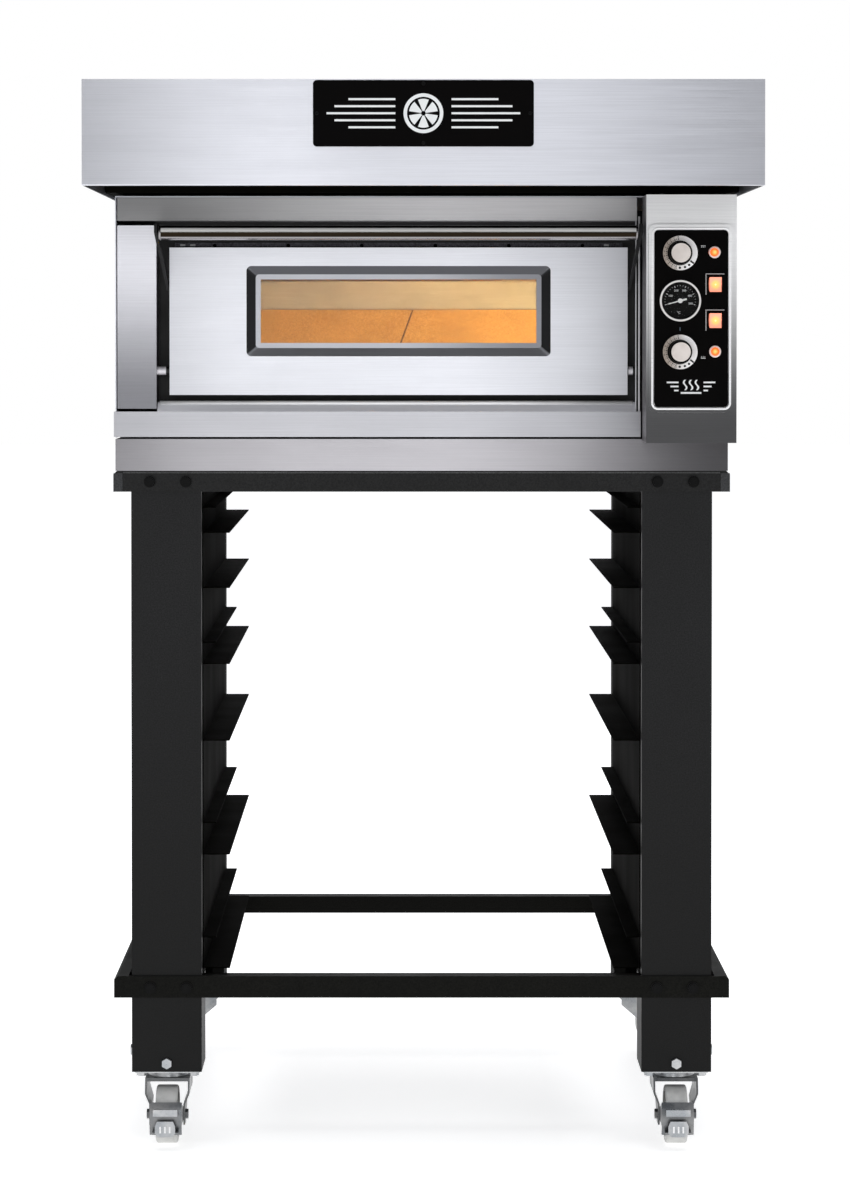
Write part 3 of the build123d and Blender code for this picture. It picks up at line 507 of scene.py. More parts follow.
def tube_look():
    """Dark polished tube with a painted highlight: a pale band in its upper half, and a painted reflection
    near its foot.
    """
    low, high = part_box("door_handle")
    across = high.z - low.z
    look = Look("handle_tube", (0.80, 0.79, 0.76), 0.2, 1.0)
    drawn = look.noise((4.0, 700.0, 700.0), 4.0, 0.7)

    def rise(start, stop):
        """A soft step between two heights, given as shares of the tube's height."""
        return look.spread(look.axis("Z"), low.z + start * across, low.z + stop * across)

    # Painted highlight in the upper half and painted reflection near the foot.
    bright = look.times(rise(0.50, 0.60), rise(0.86, 0.78))
    rim = rise(0.24, 0.14)
    tone = look.mix(bright, (0.018, 0.013, 0.008), (1.0, 1.0, 0.98))
    look.paint(look.mix(look.times(rim, 0.6), tone, (0.75, 0.72, 0.74)))
    look.link(look.spread(bright, 0.0, 1.0, 1.0, 0.1), "Metallic")
    look.gloss(drawn, 0.16, 0.26)
    look.bump(drawn, 0.1, 0.0002)
    return look.material


# Near-black paint used as painted shade: the hood's baffle, the hinge blocks and the runner racks.
shade_black = powder_coat("shade_black_powder_coat", (0.0018, 0.0016, 0.0011), 0.8, 0.01)
zinc = zinc_plate()
stone = fired_stone()
SLOT_LOOKS = {
    "stainless": brushed("stainless_sheet", (0.66, 0.67, 0.72), 0.34),
    "door_steel": brushed("door_sheet", (0.78, 0.78, 0.82), 0.4, 0.05, 0.04),
    "black_paint": powder_coat("anthracite_powder_coat", (0.0105, 0.0107, 0.0112), 0.52, 0.22),
    "zinc": zinc,
    "nylon": moulded("nylon_tyre", (0.60, 0.60, 0.585), 0.42, 0.14),
    "liner_steel": tinted_steel(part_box("chamber_liner")[0].y),
    "refractory": stone,
    "mineral_wool": mineral_wool(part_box("insulation")[0].y),
    "heater": oxidised(),
    "lamp_glass": lit_glass("lamp_glass", (1.0, 0.86, 0.62), (1.0, 0.66, 0.3), 3.0),
    "window_glass": pane("door_pane", (0.99, 0.97, 0.93), 0.02),
    "seal": moulded("door_gasket", grey(0.012), 0.7, 0.2, Specular_IOR_Level=0.1),
    "control_black": moulded("panel_black", (0.0018, 0.0015, 0.0015), 0.4, 0.2, Specular_IOR_Level=0.03),
    "needle_white": moulded("needle_enamel", (0.88, 0.88, 0.86), 0.4, 0.04),
    "electrics": moulded("terminal_plastic", (0.26, 0.27, 0.29), 0.5, 0.15),
    "gland": moulded("gland_plastic", grey(0.035), 0.5, 0.2),
}
column_low, column_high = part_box("left_column")
plate_low, plate_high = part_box("control_plate")
# Painted light and shade across the plinth and the fascia, from left to right.
PAN_LEVELS = (0.5, 0.72, 0.82, 0.89, 0.93, 0.96, 1.0, 0.93, 0.84, 0.50, 0.24, 0.16)
FASCIA_LEVELS = (0.34, 0.35, 0.46, 0.60, 0.74, 0.88, 1.0, 1.0, 0.95, 0.82, 0.56)
NODE_LOOKS = {
    "hood_shell": brushed("hood_sheet", (0.74, 0.75, 0.80), 0.34, shade=hollow_hood),
    # Painted shade: the baffle under the hood and the hinge blocks are drawn near black.
    "hood_baffle": shade_black,
    "hinge_blocks": shade_black,
    "hinge_pins": pin_look(),
    "door_outer_panel": brushed("door_sheet", (0.88, 0.89, 0.935), 0.4, 0.03, 0.03, shade=pressed_door),
    # Painted shade: the column darkens towards its foot.
    "left_column": brushed("column_sheet", (0.83, 0.83, 0.875), 0.36,
                           shade=fading(column_low.z, column_high.z, 0.29)),
    "control_box": brushed("control_sheet", WHITE, 0.36, shade=box_shade, metal=box_metal),
    "sill_trim": brushed("sill_sheet", (0.595, 0.595, 0.625), 0.38, shade=lip_shade, metal=lip_metal),
    "base_pan": brushed("plinth_sheet", (0.59, 0.575, 0.60), 0.42, 0.03, 0.06,
                        shade=banded("base_pan", PAN_LEVELS)),
    "top_fascia": brushed("fascia_sheet", (1.0, 0.98, 1.0), 0.38, 0.03, 0.06,
                          shade=banded("top_fascia", FASCIA_LEVELS)),
    "upper_frame": powder_coat("upper_powder_coat", grey(0.0115), 0.55, 0.2),
    # Painted shade: the lower frame is a darker copy of the frame's paint.
    "lower_frame": powder_coat("shaded_lower_powder_coat", (0.0055, 0.0055, 0.0045), 0.6, 0.08),
    "frame_bolts": powder_coat("bolt_black", grey(0.0035), 0.42, 0.09),
    "thermometer_case": bezel_look(),
    "pilot_lamps": pilot_look(),
    "knob_top": knob_look("knob_top"),
    "knob_floor": knob_look("knob_floor"),
    "rocker_upper": rocker_look("rocker_upper"),
    "rocker_lower": rocker_look("rocker_lower"),
    "door_handle": tube_look(),
}
PAIRED_LOOKS = {
    # Painted shade: the runner racks are drawn near black.
    "runner_rack_": shade_black,
    # Painted shade: darker copies of the zinc plate on the forks and pedals.
    "caster_fork_front_": zinc_plate("shaded_fork_zinc", 0.3),
    "caster_fork_rear_": zinc_plate("rear_fork_zinc", 0.75),
    "brake_pedal_": zinc_plate("shaded_pedal_zinc", 0.5),
    # Painted shade: the front legs darken towards the floor.
    "stand_leg_front_": powder_coat("leg_powder_coat", (0.0105, 0.0107, 0.0112), 0.52, 0.2, foot=0.35),
    # Painted shade: the rear legs are a darker copy of the leg paint, and darken towards the floor.
    "stand_leg_rear_": powder_coat("shaded_rear_leg_powder_coat", (0.0055, 0.0055, 0.0052), 0.65, 0.04, foot=0.4),
}
NODE_LOOKS.update({stem + side: paint for stem, paint in PAIRED_LOOKS.items() for side in SIDES})


def finish_cad_nodes():
    """Every CAD node keeps its shape and takes its own look, or that of its material slot."""
    for name, node in nodes.items():
        for index, packed in enumerate(node.data.materials):
            node.data.materials[index] = NODE_LOOKS.get(name) or SLOT_LOOKS[packed.name]


finish_cad_nodes()


# ---- mesh building
def add_object(name, data):
    made = bpy.data.objects.new(name, data)
    bpy.context.scene.collection.objects.link(made)
    return made


def mesh_piece(name, mesh_data, material, body="root"):
    """Links a finished bmesh as an object that rides on a CAD body."""
    bmesh.ops.recalc_face_normals(mesh_data, faces=mesh_data.faces)
    mesh = bpy.data.meshes.new(name)
    mesh_data.to_mesh(mesh)
    mesh_data.free()
    mesh.materials.append(material)
    piece = add_object(name, mesh)
    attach(piece, body)


def in_mm(*points):
    """Pairs given in millimetres, turned into metres."""
    return [(a * MM, b * MM) for a, b in points]


def spaced(start, stop, count):
    """Evenly spaced values that include both ends."""
    return [start + (stop - start) * step / (count - 1) for step in range(count)]


def turned(hub, angle, reach):
    """The point at a distance from hub, anticlockwise from +X as seen from the front."""
    spot = Vector((math.cos(angle), math.sin(angle))) * reach
    return (hub[0] + spot.x, hub[1] + spot.y)


def add_box(bm, low, high, bevel=0.0):
    centre = (Vector(low) + Vector(high)) / 2
    size = Vector(high) - Vector(low)
    placed = Matrix.Translation(centre) @ Matrix.Diagonal((*size, 1.0))
    made = bmesh.ops.create_cube(bm, size=1.0, matrix=placed)
    if bevel:
        edges = list({edge for vert in made["verts"] for edge in vert.link_edges})
        bmesh.ops.bevel(bm, geom=edges, offset=bevel, segments=2, affect="EDGES", profile=0.6)


def add_lathe(bm, origin, axis, profile, segments=48):
    """Turns (radius, distance along the axis) points round an axis through origin."""
    turn = Vector((0, 0, 1)).rotation_difference(Vector(axis)).to_matrix().to_4x4()
    placed = Matrix.Translation(Vector(origin)) @ turn
    angles = [2 * math.pi * step / segments for step in range(segments)]
    rings = []
    for radius, along in profile:
        if radius == 0.0:
            rings.append([bm.verts.new(placed @ Vector((0, 0, along)))])
            continue
        ring = [Vector((radius * math.cos(a), radius * math.sin(a), along)) for a in angles]
        rings.append([bm.verts.new(placed @ point) for point in ring])
    for lower, upper in zip(rings, rings[1:]):
        for step in range(segments):
            corners = [lower[step % len(lower)], lower[(step + 1) % len(lower)],
                       upper[(step + 1) % len(upper)], upper[step % len(upper)]]
            unique = list(dict.fromkeys(corners))
            if len(unique) > 2:
                face = bm.faces.new(unique)
                face.smooth = True


def add_prism(bm, outline, front_y, depth=PRINT):
    """A flat shape given by (x, z) corners, standing depth behind front_y."""
    front = [bm.verts.new((x, front_y, z)) for x, z in outline]
    back = [bm.verts.new((x, front_y + depth, z)) for x, z in outline]
    bm.faces.new(front)
    bm.faces.new(back[::-1])
    for index in range(len(outline)):
        following = (index + 1) % len(outline)
        bm.faces.new((front[index], back[index], back[following], front[following]))


def add_bar(bm, x_span, z_span, front_y):
    """A printed upright rectangle between two x and two z values."""
    (left, right), (foot, head) = x_span, z_span
    add_prism(bm, [(left, foot), (right, foot), (right, head), (left, head)], front_y)


def add_mark(bm, centre, angle, inner, outer, width, front_y):
    """A radial tick between two radii, at an angle anticlockwise from +X as seen from the front."""
    along = Vector((math.cos(angle), math.sin(angle)))
    across = Vector((-along.y, along.x)) * width / 2
    hub = Vector(centre)
    add_prism(bm, [hub + along * inner - across, hub + along * outer - across,
                   hub + along * outer + across, hub + along * inner + across], front_y)


def add_ring(bm, centre, inner, outer, front_y, depth=PRINT, start=0.0, stop=2 * math.pi, steps=48):
    """A flat ring or arc band whose front is at front_y."""
    hub = Vector(centre)
    for step in range(steps):
        a = start + (stop - start) * step / steps
        b = start + (stop - start) * (step + 1) / steps
        ends = [Vector((math.cos(t), math.sin(t))) for t in (a, b)]
        add_prism(bm, [hub + ends[0] * inner, hub + ends[0] * outer, hub + ends[1] * outer,
                       hub + ends[1] * inner], front_y, depth)


def add_text(bm, text, size, centre, front_y):
    """Printed numbers or units, upright and facing the front."""
    curve = bpy.data.curves.new("glyphs", "FONT")
    curve.body = text
    curve.size = size
    curve.align_x = "CENTER"
    curve.align_y = "CENTER"
    curve.extrude = PRINT / 2
    curve.resolution_u = 2
    holder = add_object("glyphs", curve)
    holder.matrix_world = (Matrix.Translation((centre[0], front_y + PRINT / 2, centre[1]))
                           @ Matrix.Rotation(math.pi / 2, 4, "X"))
    graph = bpy.context.evaluated_depsgraph_get()
    solid = bpy.data.meshes.new_from_object(holder.evaluated_get(graph))
    solid.transform(holder.matrix_world)
    bm.from_mesh(solid)
    bpy.data.objects.remove(holder)
    bpy.data.curves.remove(curve)
    bpy.data.meshes.remove(solid)


def add_screw(bm, origin, axis, radius):
    """Pan-head screw with a round recess."""
    rise = radius * 0.62
    profile = [(radius, 0.0), (radius, rise * 0.35), (radius * 0.86, rise * 0.8), (radius * 0.6, rise),
               (radius * 0.42, rise), (radius * 0.38, rise * 0.35), (0.0, rise * 0.3)]
    add_lathe(bm, origin, axis, profile, 18)


# ---- pieces on the control panel
ivory_ink = moulded("ivory_ink", (0.82, 0.84, 0.84), 0.5, 0.04)
rocker_edge_highlight = moulded("rocker_edge_highlight", (0.34, 0.33, 0.33), 0.5, 0.06)
faint_ink = moulded("faint_ink", (0.10, 0.15, 0.20), 0.5, 0.1)
black_ink = moulded("black_ink", grey(0.004), 0.5, 0.2, Specular_IOR_Level=0.1)
pale_chrome = brushed("pale_chrome", (0.82, 0.80, 0.78), 0.18, 0.02, 0.03, 0.2)
blush_ring = moulded("lamp_ring", (0.90, 0.74, 0.68), 0.3, 0.1)
dial_black = moulded("dial_black", grey(0.006), 0.5, 0.2, Specular_IOR_Level=0.1)
dial_cover = pane("dial_cover", WHITE, 0.03, 1.08)
panel_face = plate_low.y


def knob_marks(node):
    """Black graduations, small numbers, three dots and a pointer round a knob's skirt."""
    centre = middle(node)
    hub = (centre.x, centre.z)
    face = panel_face - 4 * MM - PRINT
    bm = bmesh.new()
    first, last, majors = math.radians(98), math.radians(252), 10
    for step in range(2 * majors + 1):
        angle = first + (last - first) * step / (2 * majors)
        long_mark = step % 2 == 0
        inner, width = (17.8, 1.1) if long_mark else (18.3, 0.6)
        add_mark(bm, hub, angle, inner * MM, 20.0 * MM, width * MM, face)
        if long_mark:
            add_text(bm, str(step // 2), 3.6 * MM, turned(hub, angle, 21.9 * MM), face)
    for degrees in (268, 288, 306):
        add_ring(bm, turned(hub, math.radians(degrees), 20.2 * MM), 0.0, 1.6 * MM, face, steps=12)
    add_mark(bm, hub, math.radians(322), 17.2 * MM, 23.2 * MM, 2.2 * MM, face)
    mesh_piece(node + "_marks", bm, black_ink, node)


def thermometer():
    """Black dial with white numbers under a slightly domed glass, in the chrome case."""
    low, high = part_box("thermometer_case")
    hub = ((low.x + high.x) / 2, (low.z + high.z) / 2)
    dial_depth = 0.1 * MM
    dial_face = panel_face - 1 * MM - dial_depth
    disc = bmesh.new()
    add_ring(disc, hub, 4.2 * MM, 24.8 * MM, dial_face, dial_depth, steps=64)
    mesh_piece("thermometer_dial", disc, dial_black)
    marks = bmesh.new()
    zero, full, hundreds, parts = math.radians(195), math.radians(-15), 5, 4
    ink = dial_face - PRINT
    for step in range(hundreds * parts + 1):
        angle = zero + (full - zero) * step / (hundreds * parts)
        major = step % parts == 0
        inner, width = (18.6, 0.7) if major else (19.6, 0.35)
        add_mark(marks, hub, angle, inner * MM, 20.9 * MM, width * MM, ink)
        if major:
            add_text(marks, str(100 * step // parts), 3.9 * MM, turned(hub, angle, 14.6 * MM), ink)
    add_text(marks, "\u00b0C", 4.4 * MM, (hub[0] - 2.0 * MM, hub[1] - 16.0 * MM), ink)
    mesh_piece("thermometer_marks", marks, ivory_ink)
    cover = bmesh.new()
    profile = in_mm((0.0, -1.0), (24.7, -1.0), (24.7, 0.0), (18.0, 0.25), (0.0, 0.4))
    add_lathe(cover, (hub[0], panel_face - 6.4 * MM, hub[1]), (0, -1, 0), profile, 64)
    mesh_piece("thermometer_cover", cover, dial_cover)


def pilot_rings():
    """Pale bezels round the two pilot lamps."""
    bm = bmesh.new()
    profile = in_mm((8.2, 0.0), (8.2, 1.0), (7.6, 2.0), (6.2, 2.2), (5.1, 1.6), (5.1, 0.0))
    for x, z in pilot_spots():
        add_lathe(bm, (x, panel_face - 1.6 * MM, z), (0, -1, 0), profile, 40)
    mesh_piece("pilot_rings", bm, blush_ring)


def switch_trims():
    """Light edge strip along the top and left of each rocker's frame, a painted highlight."""
    bm = bmesh.new()
    frame_low, frame_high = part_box("switch_bezels")
    left, front = frame_low.x - 0.2 * MM, frame_low.y - 0.4 * MM
    back, strip, bevel = front + 2.4 * MM, 1.4 * MM, 0.3 * MM
    for node in ("rocker_upper", "rocker_lower"):
        top = middle(node).z + 15.2 * MM
        add_box(bm, (left, front, top - strip), (frame_high.x - 1.5 * MM, back, top), bevel)
        add_box(bm, (left, front, top - 29.0 * MM), (left + strip, back, top - 0.6 * MM), bevel)
    mesh_piece("switch_trims", bm, rocker_edge_highlight)


def panel_print():
    """Pictograms, an index mark and a plain heat symbol in place of lettering."""
    bm = bmesh.new()
    face = panel_face - PRINT
    top, floor_knob = middle("knob_top"), middle("knob_floor")
    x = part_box("pilot_lamps")[1].x - 23.5 * MM
    for centre, side, rise in ((top, -1, 9.5), (floor_knob, 1, -9.0)):
        z = centre.z + rise * MM
        add_bar(bm, (x - 3.2 * MM, x + 3.2 * MM), (z, z + 0.6 * MM), face)
        for column in (-2.2, 0.0, 2.2):
            heights = z + (0.3 + side * 0.8) * MM, z + (0.3 + side * 2.6) * MM
            add_bar(bm, (x + (column - 0.3) * MM, x + (column + 0.3) * MM), heights, face)
    index_x = floor_knob.x - 0.5 * MM
    faint = bmesh.new()
    add_bar(faint, (index_x, index_x + 0.9 * MM), (floor_knob.z + 29.0 * MM, floor_knob.z + 33.5 * MM), face)
    mesh_piece("index_mark", faint, faint_ink)

    hub_x, hub_z = (plate_low.x + plate_high.x) / 2, plate_low.z + 27.5 * MM
    for side in (-1, 1):
        for row in range(3):
            xs = sorted(hub_x + side * reach * MM for reach in (17.0, 33.0 - 5.0 * row))
            z = hub_z + (5.5 - 5.5 * row) * MM
            add_bar(bm, xs, (z - 1.1 * MM, z + 1.1 * MM), face)
    steps, half = 12, 1.25 * MM
    for column in (-8.0, 0.0, 8.0):
        wave = []
        for step in range(steps + 1):
            height = -5.0 + 14.0 * step / steps
            sway = 2.0 * math.sin(2 * math.pi * step / steps)
            wave.append((hub_x + (column + sway) * MM, hub_z + height * MM))
        for (x, z), (next_x, next_z) in zip(wave, wave[1:]):
            add_prism(bm, [(x - half, z), (next_x - half, next_z), (next_x + half, next_z),
                           (x + half, z)], face)
    add_bar(bm, (hub_x - 14.0 * MM, hub_x + 14.0 * MM), (hub_z - 10.0 * MM, hub_z - 7.6 * MM), face)
    mesh_piece("panel_print", bm, ivory_ink)


def nameplate_art():
    """A plain pizza disc between groups of level bars, and the plate's four screws."""
    low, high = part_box("nameplate")
    hub = ((low.x + high.x) / 2, (low.z + high.z) / 2)
    face = low.y - PRINT
    bm = bmesh.new()
    add_ring(bm, hub, 21.0 * MM, 25.5 * MM, face, steps=64)
    slices, gap = 6, math.radians(16)
    for index in range(slices):
        start = 2 * math.pi * index / slices + gap / 2
        stop = start + 2 * math.pi / slices - gap
        add_ring(bm, hub, 3.0 * MM, 18.5 * MM, face, PRINT, start, stop, 10)
    near = 36.0
    for side in (-1, 1):
        for row, length in ((-2, 60.0), (-1, 78.0), (0, 88.0), (1, 78.0), (2, 60.0)):
            xs = sorted(hub[0] + side * reach * MM for reach in (near, near + length))
            z = hub[1] + row * 9.0 * MM
            add_bar(bm, xs, (z - 1.3 * MM, z + 1.3 * MM), face)
    mesh_piece("nameplate_art", bm, ivory_ink)
    screws = bmesh.new()
    inset, drop = 5 * MM, 4.5 * MM
    for x, z in ((low.x + inset, hub[1]), (high.x - inset, hub[1]),
                 (hub[0], high.z - drop), (hub[0], low.z + drop)):
        add_screw(screws, (x, low.y, z), (0, -1, 0), 2.4 * MM)
    mesh_piece("nameplate_screws", screws, black_ink)


knob_marks("knob_top")
knob_marks("knob_floor")
thermometer()
pilot_rings()
switch_trims()
panel_print()
nameplate_art()


# ---- pieces on the casing and door
def door_stop():
    """Slate strip with rivets and clips on the chamber front, seen above the door's top edge; its dark
    colour is a painted shade.
    """
    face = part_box("chamber_liner")[0].y
    door_low, door_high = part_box("door_outer_panel")
    strip_face = face - 2.0 * MM
    bm = bmesh.new()
    add_box(bm, (door_low.x + 4 * MM, strip_face, door_high.z + 2.6 * MM),
            (door_high.x - 4 * MM, face, door_high.z + 8.0 * MM), 0.4 * MM)
    mesh_piece("door_stop_strip", bm, strip_shade_paint)
    rivets = bmesh.new()
    for x in spaced(door_low.x + 60 * MM, door_high.x - 60 * MM, 6):
        add_screw(rivets, (x, strip_face, door_high.z + 4.0 * MM), (0, -1, 0), 2.6 * MM)
    mesh_piece("door_stop_rivets", rivets, black_ink)
    clips = bmesh.new()
    foot, head, width = door_high.z + 3.0 * MM, door_high.z + 6.0 * MM, 7 * MM
    for x in (door_low.x + 12 * MM, door_low.x + 26 * MM, door_high.x - 30 * MM):
        add_box(clips, (x, face - 5.0 * MM, foot), (x + width, face - 1.5 * MM, head), 0.5 * MM)
    mesh_piece("door_stop_clips", clips, zinc)


def hearth_joint():
    """A strip drawn as a leaning mortar joint on the rear tiles; a second strip covers the straight one."""
    stones = nodes["hearth_stones"].data.vertices
    top = max(v.co.z for v in stones)
    tile_face = min(v.co.y for v in stones if v.co.z > top - 1 * MM)
    centre = middle("door_glass").x - 1.7 * MM
    half, lean, depth = 1.3 * MM, 23.8 * MM, 0.6 * MM
    foot, head = top - 66.0 * MM, top - 0.5 * MM
    joint = bmesh.new()
    add_prism(joint, [(centre - half, foot), (centre + half, foot), (centre + lean + half, head),
                      (centre + lean - half, head)], tile_face - depth, depth)
    grout = bmesh.new()
    add_box(grout, (centre - 2.5 * MM, tile_face - 0.25 * MM, foot),
            (centre + 2.5 * MM, tile_face + 1.0 * MM, top))
    mesh_piece("joint_grout", grout, stone)
    mesh_piece("hearth_joint", joint, moulded("mortar", (0.16, 0.10, 0.07), 0.9, 0.3))


def rim_shade(look):
    """The rim's outer slope is painted dark on the left, on the right and along the top."""
    outer = plate_low.x - 5.2 * MM, plate_high.x + 5.2 * MM
    left = look.spread(look.axis("X"), outer[0] + 1.4 * MM, outer[0])
    right = look.spread(look.axis("X"), outer[1] - 1.4 * MM, outer[1])
    top = look.spread(look.axis("Z"), plate_high.z + 4.6 * MM, plate_high.z + 5.8 * MM)
    shadow = look.math("MAXIMUM", look.math("MAXIMUM", left, right), top)
    return look.mix(shadow, WHITE, (0.16, 0.16, 0.17))


def half_metal(look):
    """Partly metallic, so folds scatter part of the light."""
    return look.spread(look.noise(30.0), 0.3, 0.7, 0.3, 0.45)


def rim_metal(look):
    """Less metallic on the front of the rim, so it stays pale from every side."""
    return look.spread(look.tilt("Y"), -0.5, -0.9, 0.8, 0.35)


def plate_rim():
    """Pressed rim round the control plate, with rounded corners."""
    corner, steps = 5.0 * MM, 8
    profile = in_mm((0.3, -0.2), (0.9, 1.6), (2.2, 2.4), (4.0, 2.2), (5.6, 1.2), (8.2, 0.0), (8.2, -0.2))
    bm = bmesh.new()
    loops = []
    for out, rise in profile:
        loop = []
        for index, (x, z, side_x, side_z) in enumerate((
                (plate_high.x, plate_high.z, 1, 1), (plate_low.x, plate_high.z, -1, 1),
                (plate_low.x, plate_low.z, -1, -1), (plate_high.x, plate_low.z, 1, -1))):
            hub_x, hub_z = x - side_x * corner, z - side_z * corner
            for step in range(steps + 1):
                angle = math.pi / 2 * (index + step / steps)
                reach = corner + out
                loop.append(bm.verts.new((hub_x + reach * math.cos(angle), panel_face - rise,
                                          hub_z + reach * math.sin(angle))))
        loops.append(loop)
    for inner, outer in zip(loops, loops[1:] + loops[:1]):
        for index in range(len(inner)):
            following = (index + 1) % len(inner)
            bm.faces.new((inner[index], inner[following], outer[following], outer[index])).smooth = True
    mesh_piece("plate_rim", bm, rim_steel)


def gap_edges():
    """Two folded sheet edges that show between the door and the control box."""
    door_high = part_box("door_outer_panel")[1]
    sill_high, fascia_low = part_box("sill_trim")[1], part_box("top_fascia")[0]
    front, back = fascia_low.y + 1.0 * MM, fascia_low.y + 4.0 * MM
    foot, head = sill_high.z - 30.0 * MM, fascia_low.z + 6.0 * MM
    bm = bmesh.new()
    for offset, width in in_mm((10.7, 1.6), (14.7, 2.4)):
        x = door_high.x + offset
        add_box(bm, (x, front, foot), (x + width, back, head), 0.3 * MM)
    mesh_piece("gap_edges", bm, edge_steel)


def lip_hem():
    """Rolled hem along the upper edge of the drip lip."""
    low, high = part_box("sill_trim")
    door_low, door_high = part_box("door_outer_panel")
    bm = bmesh.new()
    radius = 3.2 * MM
    length = door_high.x - door_low.x + 22.0 * MM
    add_lathe(bm, (door_low.x - 14.0 * MM, low.y + 11.5 * MM, high.z - 1.4 * MM), (1, 0, 0),
              [(0.0, 0.0), (radius, 0.0), (radius, length), (0.0, length)], 32)
    mesh_piece("lip_hem", bm, hem_steel)


def pedal_treads():
    """Foot tongue with raised bars and the cross plate above it, on the front of each brake pedal."""
    thick = 1.5 * MM
    outline = in_mm((-11.0, 22.0), (-14.0, 15.0), (-14.0, 6.0), (-10.0, 0.5),
                    (10.0, 0.5), (14.0, 6.0), (14.0, 15.0), (11.0, 22.0))
    for side in SIDES:
        low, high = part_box("brake_pedal_" + side)
        middle_x = (low.x + high.x) / 2
        front_y = low.y - thick
        tread = bmesh.new()
        add_prism(tread, [(middle_x + x, low.z + z) for x, z in outline], front_y, thick)
        add_box(tread, (middle_x - 17.0 * MM, low.y + 1.0 * MM, low.z + 28.0 * MM),
                (middle_x + 17.0 * MM, low.y + 6.0 * MM, low.z + 38.0 * MM), 1.0 * MM)
        mesh_piece("pedal_tread_" + side, tread, zinc, "pedal_" + side)
        bars = bmesh.new()
        half = 1.2 * MM
        for offset in (-6.5, 0.0, 6.5):
            x = middle_x + offset * MM
            add_box(bars, (x - half, front_y - 0.8 * MM, low.z + 6.0 * MM),
                    (x + half, front_y + 0.2 * MM, low.z + 15.0 * MM), 0.3 * MM)
        mesh_piece("pedal_bars_" + side, bars, hem_steel, "pedal_" + side)


def rail_lip():
    """Lighter strip along the upper edge of the stand's front rail, a painted highlight."""
    low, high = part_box("upper_frame")
    bm = bmesh.new()
    add_box(bm, (low.x + 13.5 * MM, low.y - 0.5 * MM, high.z - 3.4 * MM),
            (high.x - 13.5 * MM, low.y + 0.2 * MM, high.z - 1.8 * MM), 0.15 * MM)
    mesh_piece("rail_lip", bm, rail_highlight_paint)


def rail_ends():
    """Thin plates that stand for the side rails' cut ends, on the front of both frames."""
    width = 12.5 * MM
    for node, paint in (("upper_frame", block_paint), ("lower_frame", NODE_LOOKS["lower_frame"])):
        low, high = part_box(node)
        bm = bmesh.new()
        for x in (low.x + 0.3 * MM, high.x - 0.3 * MM - width):
            add_box(bm, (x, low.y - 0.5 * MM, low.z + 0.4 * MM),
                    (x + width, low.y + 0.2 * MM, high.z - 3.2 * MM), 0.15 * MM)
        mesh_piece(node + "_rail_ends", bm, paint)


def handle_collars():
    """Bright end collars where the tube meets its arms."""
    low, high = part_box("door_handle")
    hub_y, hub_z = (low.y + high.y) / 2, (low.z + high.z) / 2
    radius = (high.z - low.z) / 2
    rim = radius + 0.7 * MM
    profile = [(radius, 0.0), (rim, 0.4 * MM), (rim, 2.6 * MM), (radius, 3.0 * MM)]
    bm = bmesh.new()
    for x, side in ((low.x, 1), (high.x, -1)):
        add_lathe(bm, (x, hub_y, hub_z), (side, 0, 0), profile)
    mesh_piece("handle_collars", bm, collar_grey, "door")


def casing_screws():
    """Pan-head screws that hold the side and rear covers and the hood."""
    bm = bmesh.new()
    head, edge = 4.0 * MM, 14 * MM
    low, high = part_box("rear_cover")
    for z in (low.z + edge, (low.z + high.z) / 2, high.z - edge):
        for x in spaced(low.x + 20 * MM, high.x - 20 * MM, 5):
            if abs(x) > 1 * MM or z > low.z + 20 * MM:
                add_screw(bm, (x, high.y, z), (0, 1, 0), head)
    for side, turn in zip(SIDES, (-1, 1)):
        low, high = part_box("side_cover_" + side)
        face = low.x if turn < 0 else high.x
        for z in (low.z + edge, high.z - edge):
            for y in spaced(low.y + 40 * MM, high.y - 20 * MM, 4):
                add_screw(bm, (face, y, z), (turn, 0, 0), head)
    low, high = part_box("hood_shell")
    z = low.z + edge
    for turn, face in ((-1, low.x), (1, high.x)):
        for y in spaced(low.y + 60 * MM, high.y - 30 * MM, 5):
            add_screw(bm, (face, y, z), (turn, 0, 0), head)
    for x in spaced(low.x + 40 * MM, high.x - 40 * MM, 5):
        add_screw(bm, (x, high.y, z), (0, 1, 0), head)
    mesh_piece("casing_screws", bm, pale_chrome)


collar_grey = brushed("collar_steel", (0.34, 0.33, 0.33), 0.25, 0.03, 0.03, 0.2)
rim_steel = brushed("rim_steel", WHITE, 0.3, 0.03, 0.03, 0.2, shade=rim_shade, metal=rim_metal)
edge_steel = brushed("edge_steel", (0.62, 0.62, 0.64), 0.35, 0.04, 0.05, 0.2, metal=half_metal)
hem_steel = brushed("hem_steel", WHITE, 0.36, 0.03, 0.03, 0.2, metal=half_metal)
rail_highlight_paint = powder_coat("rail_highlight_paint", (0.055, 0.056, 0.056), 0.5, 0.3)
block_paint = powder_coat("rail_end_paint", (0.035, 0.036, 0.038), 0.6, 0.3)
# Painted shade: the steel jamb strip is drawn dark.
strip_shade_paint = powder_coat("shaded_slate_strip", (0.13, 0.127, 0.145), 0.5, 0.3)
door_stop()
hearth_joint()
handle_collars()
plate_rim()
gap_edges()
lip_hem()
rail_ends()
rail_lip()
pedal_treads()
casing_screws()


# ---- studio
def area_light(name, place, aim, width, height, power, color=WHITE):
    data = bpy.data.lights.new(name, "AREA")
    data.shape = "RECTANGLE"
    data.size = width
    data.size_y = height
    data.energy = power
    data.color = color
    light = add_object(name, data)
    light.location = place
    light.rotation_euler = (Vector(aim) - Vector(place)).to_track_quat("-Z", "Y").to_euler()


